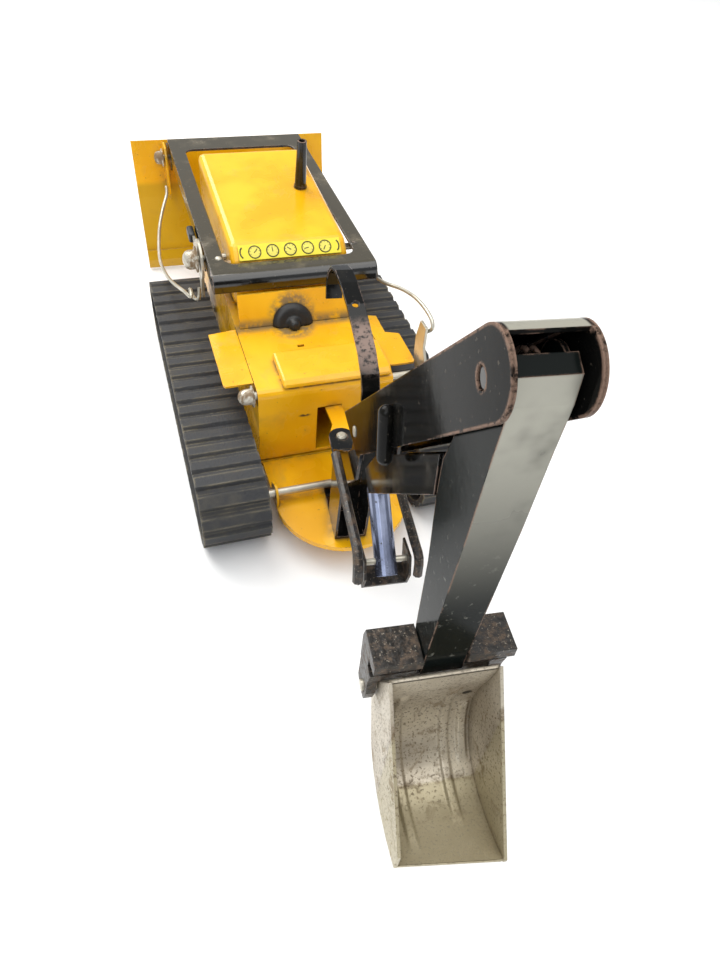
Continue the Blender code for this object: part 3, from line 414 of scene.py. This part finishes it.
def bucket_zinc():
    """Dull warm plating with fine brown soil speckles, thickest along the crease of the scoop."""
    t = Tree("bucket_zinc")
    cloud = t.noise(36.0, 5.0, 0.6)
    colour = t.mix(t.band(cloud, 0.35, 0.65), SCOOP_DARK, SCOOP_PALE)
    back = t.along(ARM_BACK, BUCKET_PIVOT)
    floor_part = t.inverse(t.band(back, SCOOP_CREASE - 0.6 * MM, SCOOP_CREASE + 0.6 * MM))
    colour = t.mix(t.times(floor_part, 0.7), colour, SCOOP_LOW)
    low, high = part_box("bucket")
    middle = [(a + b) / 2 for a, b in zip(low, high)]
    deep = t.near(middle, 12.0 * MM, 34.0 * MM)
    fine = t.patches(0.56, 0.62, 1150.0, 3.0, 0.6)
    colour = t.mix(t.times(fine, t.blend(deep, 0.35, 0.85)), colour, SOIL)
    blots = t.patches(0.52, 0.62, 150.0, 8.0, 0.75, 0.8)
    colour = t.mix(t.times(blots, t.blend(deep, 0.25, 0.7)), colour, SOIL_BLOT)
    fading = t.inverse(t.band(t.signed("SUBTRACT", back, SCOOP_CREASE), 0.0, 3.0 * MM))
    line = t.times(fading, t.band(back, SCOOP_CREASE - 1.5 * MM, SCOOP_CREASE))
    line = t.times(line, t.patches(0.42, 0.60, 260.0, 6.0, 0.7))
    colour = t.mix(t.times(line, 0.75), colour, SOIL_LINE)
    # A dark painted spot stands for the hole: painted shade.
    colour = t.mix(t.near(SCOOP_HOLE, 1.4 * MM, 1.8 * MM), colour, HOLE_SHADE)
    # Painted shade darkens the scoop's corners.
    colour = t.mix(t.times(t.crevice(5.0 * MM), 0.65), colour, BUCKET_CORNER_SHADE)
    colour = t.mix(t.times(t.scratches(0.76), 0.20), colour, SCOOP_SCRATCH)
    rough = t.blend(t.most(fine, blots), 0.36, 0.70)
    metal = t.blend(fine, 0.45, 0.1)
    return t.surface(colour, rough, metal, t.noise(330.0, 5.0), 0.08 * MM, round_edges=0.8 * MM)


def tube_steel():
    """Steel tube, smooth, its bluish colour a painted sheen (painted reflection), with a few dull spots."""
    t = Tree("tube_steel")
    cloud = t.noise(60.0, 3.0)
    # Bluish tones: painted reflection.
    colour = t.mix(t.band(cloud, 0.35, 0.65), STEEL_SHEEN_DARK, STEEL_SHEEN_PALE)
    spots = t.patches(0.62, 0.68, 420.0, 4.0)
    colour = t.mix(t.times(spots, 0.7), colour, STEEL_SPOT)
    rough = t.blend(spots, 0.24, 0.55)
    return t.surface(colour, rough, t.blend(spots, 0.85, 0.1), t.noise(200.0, 2.0), 0.03 * MM)


def track_rubber():
    """Dusty rubber, with painted shade between its ribs and brown along their crests."""
    t = Tree("track_rubber")
    dust = t.patches(0.45, 0.72, 75.0, 6.0, 0.65)
    colour = t.mix(t.times(dust, 0.40), RUBBER, RUBBER_DUST)
    # Painted shade between the ribs, from the occlusion mask.
    colour = t.mix(t.crevice(6.0 * MM, 0.55, 0.98), colour, RUBBER_GAP_SHADE)
    crest = t.edges(1.6 * MM, 0.004, 0.08)
    crest = t.times(crest, t.patches(0.40, 0.62, 120.0, 6.0, 0.7, 0.0, (0.35, 1.0, 1.0)))
    colour = t.mix(t.times(crest, 0.85), colour, RUBBER_CREST)
    return t.surface(colour, t.blend(dust, 0.62, 0.9), 0.0, t.noise(700.0, 3.0), 0.3 * MM)


def plain(name, colour, rough):
    """One colour with a little pale dust."""
    t = Tree(name)
    dust = t.patches(0.5, 0.75, 150.0, 5.0)
    pale = tuple(min(1.0, c * 1.25 + 0.03) for c in colour)
    colour = t.mix(t.times(dust, 0.5), colour, pale)
    return t.surface(colour, t.blend(dust, rough, min(1.0, rough + 0.2)), 0.0, t.noise(400.0, 2.0), 0.1 * MM)


MATERIALS = {
    "yellow": yellow_enamel(),
    "black": black_enamel(),
    "zinc": aged_zinc(),
    "rubber": track_rubber(),
    "vinyl": plain("black_vinyl", VINYL, 0.4),
    "dial": plain("dial_label", DIAL_YELLOW, 0.45),
}
SEAM = (0.0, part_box("bulkhead")[0][1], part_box("bulkhead")[0][2])
BUTTON = [(a + b) / 2 for a, b in zip(*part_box("rubber_button"))]
BLADE_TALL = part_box("blade")[1][2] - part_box("blade")[0][2]
# Share of the blade's height below which its enamel gets painted shade.
SHADE_SHARE = 0.62
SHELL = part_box("body_shell")
CHEEK_HALF = max((v.co - ELBOW).dot(ARM_ACROSS) for v in NODES["boom"].data.vertices)
SCOOP_CREASE = -19.3 * MM
HOLE_ACROSS = 12.4 * MM
HOLE_BEHIND = 4.2 * MM
HOLE_BELOW = 6.75 * MM
SCOOP_HOLE = BUCKET_PIVOT + ARM_ACROSS * HOLE_ACROSS - ARM_BACK * HOLE_BEHIND - Vector((0, 0, HOLE_BELOW))
GOUGE_SIDE = -11.0 * MM
GOUGE_HEIGHT = 42.5 * MM
GOUGE = (GOUGE_SIDE, SHELL[0][1], GOUGE_HEIGHT)
SPECIAL = {
    "boom": black_enamel("boom_enamel", 0.10, cheek_wear, gloss=0.035, sheen=elbow_sheen),
    "strap_lever": black_enamel("strap_enamel", 0.25, strap_wear, STRAP_COPPER, gloss=0.3),
    "strut_tube": tube_steel(),
    "dipper": dipper_enamel(),
    "bulkhead": yellow_enamel("bulkhead_enamel", 1.3, SEAM),
    "body_shell": yellow_enamel("shell_enamel", 1.1, SEAM, gouge=GOUGE),
    "blade": yellow_enamel("blade_enamel", 1.0, None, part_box("blade")[0][2] + SHADE_SHARE * BLADE_TALL),
    # The frame's upward faces carry a painted reflection.
    "push_frame": black_enamel("frame_enamel", 0.75, gloss=0.9, top_reflection=FRAME_TOP_REFLECTION,
                               dust_colour=FRAME_DUST, round_edges=1.2 * MM),
    "bucket": bucket_zinc(),
}
RUST = rusty_black()
for rusty in ("left_side_rod", "right_side_rod", "bracket", "yoke"):
    SPECIAL[rusty] = RUST
NUT = aged_zinc("nut_zinc", 0.95, 0.42, 0.5)
for nut in NODES:
    if nut.endswith("_nut"):
        SPECIAL[nut] = NUT


def dress_nodes():
    for name, obj in NODES.items():
        obj.data.materials.clear()
        obj.data.materials.append(SPECIAL.get(name) or MATERIALS[SLOTS[name]])


# ---------------------------------------------------------------- detail pieces

LIFT = 0.05 * MM
DIAL_COUNT = 5
DIAL_END_ROOM = 0.8
DIAL_RADIUS = 3.1 * MM
DIAL_CROWN = [(0.02 * MM, 0.10 * MM), (DIAL_RADIUS * 0.8, 0.08 * MM), (DIAL_RADIUS, 0.0)]
RING_HALF = 0.28 * MM
MARKS_RAISED = 0.12 * MM
NEEDLE_FIRST = 0.25
NEEDLE_STEP = 0.27
NEEDLE_REACH = 0.62
NEEDLE_TAIL = 0.25
NEEDLE_HALF = 0.22 * MM
NEEDLE_HEIGHT = 0.10 * MM
TICK_COUNT = 7
TICK_FIRST = -0.15
TICK_SWEEP = 1.3
TICK_NEAR = 0.70
TICK_FAR = 0.88
TICK_HALF = 0.10 * MM
TICK_HEIGHT = 0.06 * MM
ARC_INSET = 3.0 * MM
ARC_WIDE = 2.2 * MM
ARC_HIGH = 3.0 * MM
ARC_ANGLES = (-1.1, -0.55, 0.0, 0.55, 1.1)
ARC_HALF = 0.35 * MM
ARC_HEIGHT = 0.10 * MM
ELBOW_RIM_RADIUS = 5.2 * MM
ELBOW_RIM_HALF = 0.55 * MM
RIVET_DOME = [(0.02 * MM, 0.9 * MM), (1.0 * MM, 0.75 * MM), (1.6 * MM, 0.35 * MM), (1.75 * MM, 0.0)]
RIVET_IN = (6.0 * MM, 19.0 * MM)
EYELET_RIM = [(0.9 * MM, 0.02 * MM), (1.0 * MM, 0.22 * MM), (1.6 * MM, 0.20 * MM), (1.8 * MM, 0.0)]
EYELET_IN = (6.5 * MM, 23.0 * MM)
GRILLE_BARS = 9
GRILLE_WIDTH = 0.34
GRILLE_HEIGHT = 0.30
GRILLE_BAR_HALF = 0.9 * MM
GRILLE_BAR_HEIGHT = 0.5 * MM
SAME_POINT = 0.005 * MM
SMOOTH_ANGLE = radians(34.0)
SMOOTHED = ("exhaust_stack", "rubber_button", "lever_grip", "tilt_wire",
            "lift_wire") + tuple(n for n in NODES if n.endswith("_nut"))
RIBS = ((-9.2 * MM, 0.13, 0.93), (7.0 * MM, 0.13, 0.86), (13.2 * MM, 0.25, 0.62))
RIB_HALF = 2.0 * MM
RIB_SHOULDER = 0.9 * MM
RIB_HEIGHT = 0.95 * MM
RIB_TOP_END = 0.03
RIB_LOW_END = 0.12
SCOOP_MIDDLE = Vector((-35.0 * MM, 0.0))
SMALLEST_WALL = 80 * MM * MM
CORNER_GAP = 0.4 * MM
BUCKET_INSIDE_HALF = 15.9 * MM
INSIDE_GAP = 0.3 * MM
SKIN_COLUMNS = 96
SKIN_STEPS = 8
SKIN_LIFT = 0.28 * MM
LIP_SHOWING = 0.4 * MM
# The dark bar standing for the strap's reflection in the boom's left cheek: a painted reflection.
REFLECTION_BAR_RADIUS = 2.5 * MM
REFLECTION_BAR_OFFSET = 0.55
REFLECTION_BAR_TOP = (48.8 * MM, -51.6 * MM)
REFLECTION_BAR_LOW = (44.9 * MM, -65.3 * MM)
REFLECTION_BAR_STEPS = 8


def add_piece(name, bm, material, body):
    mesh = bpy.data.meshes.new(name)
    bmesh.ops.recalc_face_normals(bm, faces=bm.faces)
    bm.to_mesh(mesh)
    bm.free()
    mesh.shade_smooth()
    mesh.materials.append(material)
    obj = bpy.data.objects.new(name, mesh)
    bpy.context.collection.objects.link(obj)
    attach(obj, body)
    return obj


def facing(place, normal, across=Vector((1, 0, 0))):
    """Matrix whose Z is the normal and whose X runs across."""
    z = Vector(normal).normalized()
    x = (across - z * across.dot(z)).normalized()
    y = z.cross(x)
    matrix = Matrix((x, y, z)).transposed().to_4x4()
    matrix.translation = place
    return matrix


def turned(bm, profile, matrix, steps=40):
    """Turn (radius, height) points about local Z; a closed profile makes a ring."""
    rows = []
    for k in range(steps):
        a = 2 * pi * k / steps
        rows.append([bm.verts.new(matrix @ Vector((r * cos(a), r * sin(a), h))) for r, h in profile])
    for k in range(steps):
        here, there = rows[k], rows[(k + 1) % steps]
        for i in range(len(profile) - 1):
            bm.faces.new((here[i], there[i], there[i + 1], here[i + 1]))


def ring_profile(radius, half, height=0.0, sides=10):
    return [(radius + half * cos(2 * pi * i / sides), height + half * sin(2 * pi * i / sides))
            for i in range(sides + 1)]


def bar(bm, matrix, start, end, half, high):
    """A flat-topped bar from start to end in the matrix's plane."""
    along = Vector((end[0] - start[0], end[1] - start[1], 0)).normalized()
    side = Vector((-along.y, along.x, 0)) * half
    a, b = Vector((*start, 0)), Vector((*end, 0))
    low = [bm.verts.new(matrix @ p) for p in (a - side, b - side, b + side, a + side)]
    top = [bm.verts.new(matrix @ (p + Vector((0, 0, high)))) for p in
           (a - side * 0.7, b - side * 0.7, b + side * 0.7, a + side * 0.7)]
    bm.faces.new(top)
    for i in range(4):
        bm.faces.new((low[i], low[(i + 1) % 4], top[(i + 1) % 4], top[i]))


def largest_face(node, towards):
    """Middle and normal of the node's widest face that looks towards a direction."""
    faces = [p for p in NODES[node].data.polygons if p.normal.dot(Vector(towards)) > 0.6]
    normal = max(faces, key=lambda p: p.area).normal.copy()
    flat = [p for p in faces if p.normal.dot(normal) > 0.999]
    area = sum(p.area for p in flat)
    middle = sum((p.center * p.area for p in flat), Vector()) / area
    return middle, normal


def dial_face(place, k, finish):
    """The low crown of one gauge."""
    bm = bmesh.new()
    turned(bm, DIAL_CROWN, place)
    add_piece(f"dial_face_{k + 1}", bm, finish, "body")


def dial_marks(place, k, finish):
    """One gauge's rim, needle and ticks."""
    bm = bmesh.new()
    turned(bm, ring_profile(DIAL_RADIUS, RING_HALF), place)
    needle = NEEDLE_FIRST * pi + NEEDLE_STEP * pi * k
    tip = (DIAL_RADIUS * NEEDLE_REACH * cos(needle), DIAL_RADIUS * NEEDLE_REACH * sin(needle))
    tail = (-tip[0] * NEEDLE_TAIL, -tip[1] * NEEDLE_TAIL)
    raised = place @ Matrix.Translation((0, 0, MARKS_RAISED))
    bar(bm, raised, tail, tip, NEEDLE_HALF, NEEDLE_HEIGHT)
    near, far = DIAL_RADIUS * TICK_NEAR, DIAL_RADIUS * TICK_FAR
    for tick in range(TICK_COUNT):
        a = pi * (TICK_FIRST + TICK_SWEEP * tick / (TICK_COUNT - 1))
        start, end = (near * cos(a), near * sin(a)), (far * cos(a), far * sin(a))
        bar(bm, raised, start, end, TICK_HALF, TICK_HEIGHT)
    add_piece(f"dial_marks_{k + 1}", bm, finish, "body")


def dial_arc(place, side, finish):
    """The thin arc at one end of the row."""
    bm = bmesh.new()
    points = [(side * ARC_WIDE * cos(a), ARC_HIGH * sin(a)) for a in ARC_ANGLES]
    for one, two in zip(points, points[1:]):
        bar(bm, place, one, two, ARC_HALF, ARC_HEIGHT)
    add_piece("dial_arc_left" if side < 0 else "dial_arc_right", bm, finish, "body")


def dials():
    """A row of plain round gauges with a needle and ticks each, and an arc at each end."""
    middle, normal = largest_face("dial_strip", (0, -1, 1))
    low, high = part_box("dial_strip")
    pitch = (high[0] - low[0]) / (DIAL_COUNT + DIAL_END_ROOM)
    ink = plain("dial_ink", DIAL_INK, 0.5)
    face = plain("dial_face", DIAL_FACE, 0.4)
    for k in range(DIAL_COUNT):
        place = middle + Vector(((k - (DIAL_COUNT - 1) / 2) * pitch, 0, 0)) + normal * LIFT
        dial_face(facing(place, normal), k, face)
        dial_marks(facing(place, normal), k, ink)
    for side in (-1, 1):
        place = middle + Vector((side * (high[0] - ARC_INSET), 0, 0)) + normal * LIFT
        dial_arc(facing(place, normal), side, ink)


def elbow_rings():
    """Pressed rim round the elbow pin on both cheeks."""
    worn = black_enamel("rim_enamel", 0.2, lambda t: t.near(ELBOW, 20.0 * MM, 30.0 * MM))
    profile = ring_profile(ELBOW_RIM_RADIUS, ELBOW_RIM_HALF)
    for side, name in ((-1, "elbow_rim_left"), (1, "elbow_rim_right")):
        middle, normal = largest_face("boom", tuple(ARM_SIDE * side))
        place = ELBOW + normal * ((middle - ELBOW).dot(normal))
        bm = bmesh.new()
        turned(bm, profile, facing(place, normal, Vector((0, 0, 1))), 56)
        add_piece(name, bm, worn, "boom")


def frame_rivet():
    """Rivet at the push frame's left rear corner, and the pressed eyelet at the right."""
    low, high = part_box("push_frame")
    left = Vector((low[0] + RIVET_IN[0], low[1] + RIVET_IN[1], high[2]))
    right = Vector((high[0] - EYELET_IN[0], low[1] + EYELET_IN[1], high[2]))
    for name, place, profile, finish in (("frame_rivet", left, RIVET_DOME, NUT),
                                         ("frame_eyelet", right, EYELET_RIM, SPECIAL["push_frame"])):
        bm = bmesh.new()
        turned(bm, profile, facing(place, (0, 0, 1)))
        add_piece(name, bm, finish, "push_frame")


def grille():
    """Upright bars on the hood's nose."""
    low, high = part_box("hood")
    middle, normal = largest_face("hood", (0, 1, 0))
    half_width = (high[0] - low[0]) * GRILLE_WIDTH
    half_height = (high[2] - low[2]) * GRILLE_HEIGHT
    bm = bmesh.new()
    matrix = facing(middle + normal * LIFT, normal)
    for k in range(GRILLE_BARS):
        x = half_width * (2 * k / (GRILLE_BARS - 1) - 1)
        bar(bm, matrix, (x, -half_height), (x, half_height), GRILLE_BAR_HALF, GRILLE_BAR_HEIGHT)
    add_piece("nose_grille", bm, MATERIALS["black"], "body")


def smooth_copy(node):
    """The node's own shape with smooth shading across its facets, standing for the CAD node."""
    source = NODES[node]
    bm = bmesh.new()
    bm.from_mesh(source.data)
    bmesh.ops.remove_doubles(bm, verts=bm.verts, dist=SAME_POINT)
    piece = add_piece(f"{node}_smooth", bm, source.data.materials[0], BODY_OF[node])
    piece.data.set_sharp_from_angle(angle=SMOOTH_ANGLE)
    weighted = piece.modifiers.new("flat_faces_stay_flat", "WEIGHTED_NORMAL")
    weighted.weight = 100
    weighted.keep_sharp = True
    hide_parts(node)
    return piece


def bucket_profile():
    """The scoop's inner outline as (towards the tractor, up) from the bucket's pivot, mouth edge last."""
    points = []
    for face in NODES["bucket"].data.polygons:
        normal = Vector((face.normal.dot(ARM_BACK), face.normal.z))
        centre = face.center - BUCKET_PIVOT
        inward = SCOOP_MIDDLE - Vector((centre.dot(ARM_BACK), centre.z))
        cheek = abs(face.normal.dot(ARM_ACROSS)) > 0.3
        if cheek or normal.dot(inward) <= 0 or face.area < SMALLEST_WALL:
            continue
        for index in face.vertices:
            spot = NODES["bucket"].data.vertices[index].co - BUCKET_PIVOT
            flat = Vector((spot.dot(ARM_BACK), spot.z))
            if all((flat - other).length > CORNER_GAP for other in points):
                points.append(flat)
    points.sort(key=lambda q: -atan2(q.y - SCOOP_MIDDLE.y, q.x - SCOOP_MIDDLE.x))
    return points


def eased(points, steps):
    """A smooth curve through the points, with a number of steps between each pair."""
    curve = []
    last = len(points) - 1
    for k in range(last):
        a, b, c, d = points[max(k - 1, 0)], points[k], points[k + 1], points[min(k + 2, last)]
        for step in range(steps):
            t = step / steps
            curve.append(0.5 * (2 * b + (c - a) * t + (2 * a - 5 * b + 4 * c - d) * t * t
                                + (3 * b - a - 3 * c + d) * t * t * t))
    curve.append(points[-1])
    return curve


def ease(x):
    x = min(max(x, 0.0), 1.0)
    return x * x * (3 - 2 * x)


def rib_rise(across, along):
    """Height of the pressed ribs at a place across the scoop and a share of the way along it."""
    rise = 0.0
    for middle, first, last in RIBS:
        side = ease((RIB_HALF - abs(across - middle)) / RIB_SHOULDER)
        ends = ease((along - first) / RIB_TOP_END) * ease((last - along) / RIB_LOW_END)
        rise = max(rise, side * ends)
    return rise * RIB_HEIGHT


def lip_ends():
    """The two ends of the scoop's worn lip, on the inside of its cheeks."""
    ends = []
    for side in (-1, 1):
        inside = [v.co for v in NODES["bucket"].data.vertices
                  if abs((v.co - BUCKET_PIVOT).dot(ARM_ACROSS) - side * BUCKET_INSIDE_HALF) < INSIDE_GAP]
        ends.append(min(inside, key=lambda co: (co - BUCKET_PIVOT).dot(ARM_BACK)).copy())
    return ends


def skin_rows(bm, outline):
    """Rows of points across the scoop, one row for each place along its outline."""
    rows = []
    last = len(outline) - 1
    for k, q in enumerate(outline):
        along = (outline[min(k + 1, last)] - outline[max(k - 1, 0)]).normalized()
        inward = Vector((along.y, -along.x))
        if inward.dot(SCOOP_MIDDLE - q) < 0:
            inward.negate()
        row = []
        for step in range(SKIN_COLUMNS + 1):
            across = BUCKET_INSIDE_HALF * (2 * step / SKIN_COLUMNS - 1)
            spot = q + inward * (SKIN_LIFT + rib_rise(across, k / last))
            place = BUCKET_PIVOT + ARM_BACK * spot.x + Vector((0, 0, spot.y)) + ARM_ACROSS * across
            row.append(bm.verts.new(place))
        rows.append(row)
    return rows


def cut_at_lip(bm):
    """Cut the sheet off a little short of the scoop's worn lip."""
    left, right = lip_ends()
    outwards = (right - left).normalized().cross(Vector((0, 0, 1)))
    if outwards.dot(BUCKET_PIVOT - left) > 0:
        outwards.negate()
    everything = [*bm.verts, *bm.edges, *bm.faces]
    bmesh.ops.bisect_plane(bm, geom=everything, plane_co=left - outwards * LIP_SHOWING,
                           plane_no=outwards, clear_outer=True)


def bucket_skin():
    """The scoop's inside as one smooth sheet with its three pressed ribs."""
    bm = bmesh.new()
    rows = skin_rows(bm, eased(bucket_profile(), SKIN_STEPS))
    for one, two in zip(rows, rows[1:]):
        for step in range(SKIN_COLUMNS):
            bm.faces.new((one[step], one[step + 1], two[step + 1], two[step]))
    cut_at_lip(bm)
    add_piece("bucket_skin", bm, SPECIAL["bucket"], "bucket")


def strap_reflection_bar():
    """Rounded dark upright bar against the boom's left cheek, where the glossy cheek shows the strap's
    reflection: a painted reflection.
    """
    top, low = (ELBOW + ARM_BACK * back + Vector((0, 0, up)) for back, up in (REFLECTION_BAR_TOP, REFLECTION_BAR_LOW))
    middle = -ARM_ACROSS * (CHEEK_HALF + REFLECTION_BAR_OFFSET * REFLECTION_BAR_RADIUS)
    length = (top - low).length
    profile = [(0.02 * MM, -REFLECTION_BAR_RADIUS)]
    for k in range(1, REFLECTION_BAR_STEPS + 1):
        a = pi / 2 * k / REFLECTION_BAR_STEPS
        profile.append((REFLECTION_BAR_RADIUS * sin(a), -REFLECTION_BAR_RADIUS * cos(a)))
    profile += [(r, length - h) for r, h in reversed(profile)]
    bm = bmesh.new()
    turned(bm, profile, facing(low + middle, top - low, ARM_ACROSS), 32)
    add_piece("strap_reflection_bar", bm, black_enamel("reflection_bar_enamel", 0.30, gloss=0.14), "boom")


def add_details():
    strap_reflection_bar()
    dials()
    elbow_rings()
    frame_rivet()
    grille()
    bucket_skin()
    for node in SMOOTHED:
        smooth_copy(node)


# ---------------------------------------------------------------- camera, floor and light

CAMERA_YAW = radians(22.7)
CAMERA_PITCH = radians(46.5)
CAMERA_ROLL = radians(6.8)
CAMERA_PLACE = (-0.085, -0.27334, 0.281)
CAMERA_LENS = 27.04
SENSOR_WIDTH = 36.0
FLOOR_SIZE = 3.0
FLOOR_GAP = 0.2 * MM
WORLD_COLOUR = (0.93, 0.96, 1.0, 1.0)
WORLD_STRENGTH = 0.42
KEY_PLACE = (-0.5, 1.0, 1.3)
KEY_TARGET = (0, 0, 0.05)
KEY_SIZE = (1.2, 1.2)
KEY_WATTS = 25.0
KEY_COLOUR = (1.0, 0.985, 0.95)
FILL_PLACE = (-0.8, -0.9, 0.9)
FILL_TARGET = (0, 0, 0.1)
FILL_SIZE = (0.8, 0.8)
FILL_WATTS = 4.0
FILL_COLOUR = (0.92, 0.96, 1.0)
OVERHEAD_PLACE = (0.1, -0.5, 2.1)
OVERHEAD_TARGET = (0.1, -0.2, 0.0)
OVERHEAD_SIZE = (2.6, 2.6)
OVERHEAD_WATTS = 42.0
OVERHEAD_COLOUR = (1.0, 0.99, 0.97)


def camera():
    """Camera behind and above the tractor, left of its middle, looking forward and down."""
    flat = cos(CAMERA_PITCH)
    ahead = Vector((sin(CAMERA_YAW) * flat, cos(CAMERA_YAW) * flat, -sin(CAMERA_PITCH)))
    level = Vector((cos(CAMERA_YAW), -sin(CAMERA_YAW), 0.0))
    above = level.cross(ahead)
    right = level * cos(CAMERA_ROLL) + above * sin(CAMERA_ROLL)
    up = above * cos(CAMERA_ROLL) - level * sin(CAMERA_ROLL)
    data = bpy.data.cameras.new("camera")
    data.sensor_width = SENSOR_WIDTH
    data.lens = CAMERA_LENS
    data.clip_start = 5.0 * MM
    cam = bpy.data.objects.new("camera", data)
    bpy.context.collection.objects.link(cam)
    matrix = Matrix((right, up, -ahead)).transposed().to_4x4()
    matrix.translation = CAMERA_PLACE
    cam.matrix_world = matrix
    bpy.context.scene.camera = cam


def floor():
    bm = bmesh.new()
    bmesh.ops.create_grid(bm, x_segments=2, y_segments=2, size=FLOOR_SIZE)
    mesh = bpy.data.meshes.new("floor")
    bm.to_mesh(mesh)
    bm.free()
    obj = bpy.data.objects.new("floor", mesh)
    bpy.context.collection.objects.link(obj)
    obj.location.z = min(CAD_BOX[0][2], 0.0) - FLOOR_GAP
    t = Tree("floor")
    t.surface(FLOOR_PAINT, 0.8, round_edges=0.0)
    mesh.materials.append(t.material)


def area_light(name, place, target, size, power, colour):
    data = bpy.data.lights.new(name, "AREA")
    data.shape = "RECTANGLE"
    data.size, data.size_y = size
    data.energy = power
    data.color = colour
    light = bpy.data.objects.new(name, data)
    bpy.context.collection.objects.link(light)
    light.location = place
    light.rotation_euler = (Vector(target) - Vector(place)).to_track_quat("-Z", "Y").to_euler()


def light():
    world = bpy.data.worlds.new("studio")
    bpy.context.scene.world = world
    world.use_nodes = True
    background = world.node_tree.nodes["Background"]
    background.inputs[0].default_value = WORLD_COLOUR
    background.inputs[1].default_value = WORLD_STRENGTH
    area_light("key", KEY_PLACE, KEY_TARGET, KEY_SIZE, KEY_WATTS, KEY_COLOUR)
    area_light("fill", FILL_PLACE, FILL_TARGET, FILL_SIZE, FILL_WATTS, FILL_COLOUR)
    area_light("overhead", OVERHEAD_PLACE, OVERHEAD_TARGET, OVERHEAD_SIZE, OVERHEAD_WATTS, OVERHEAD_COLOUR)
    bpy.context.scene.view_settings.view_transform = "Standard"


dress_nodes()
add_details()
camera()
floor()
light()
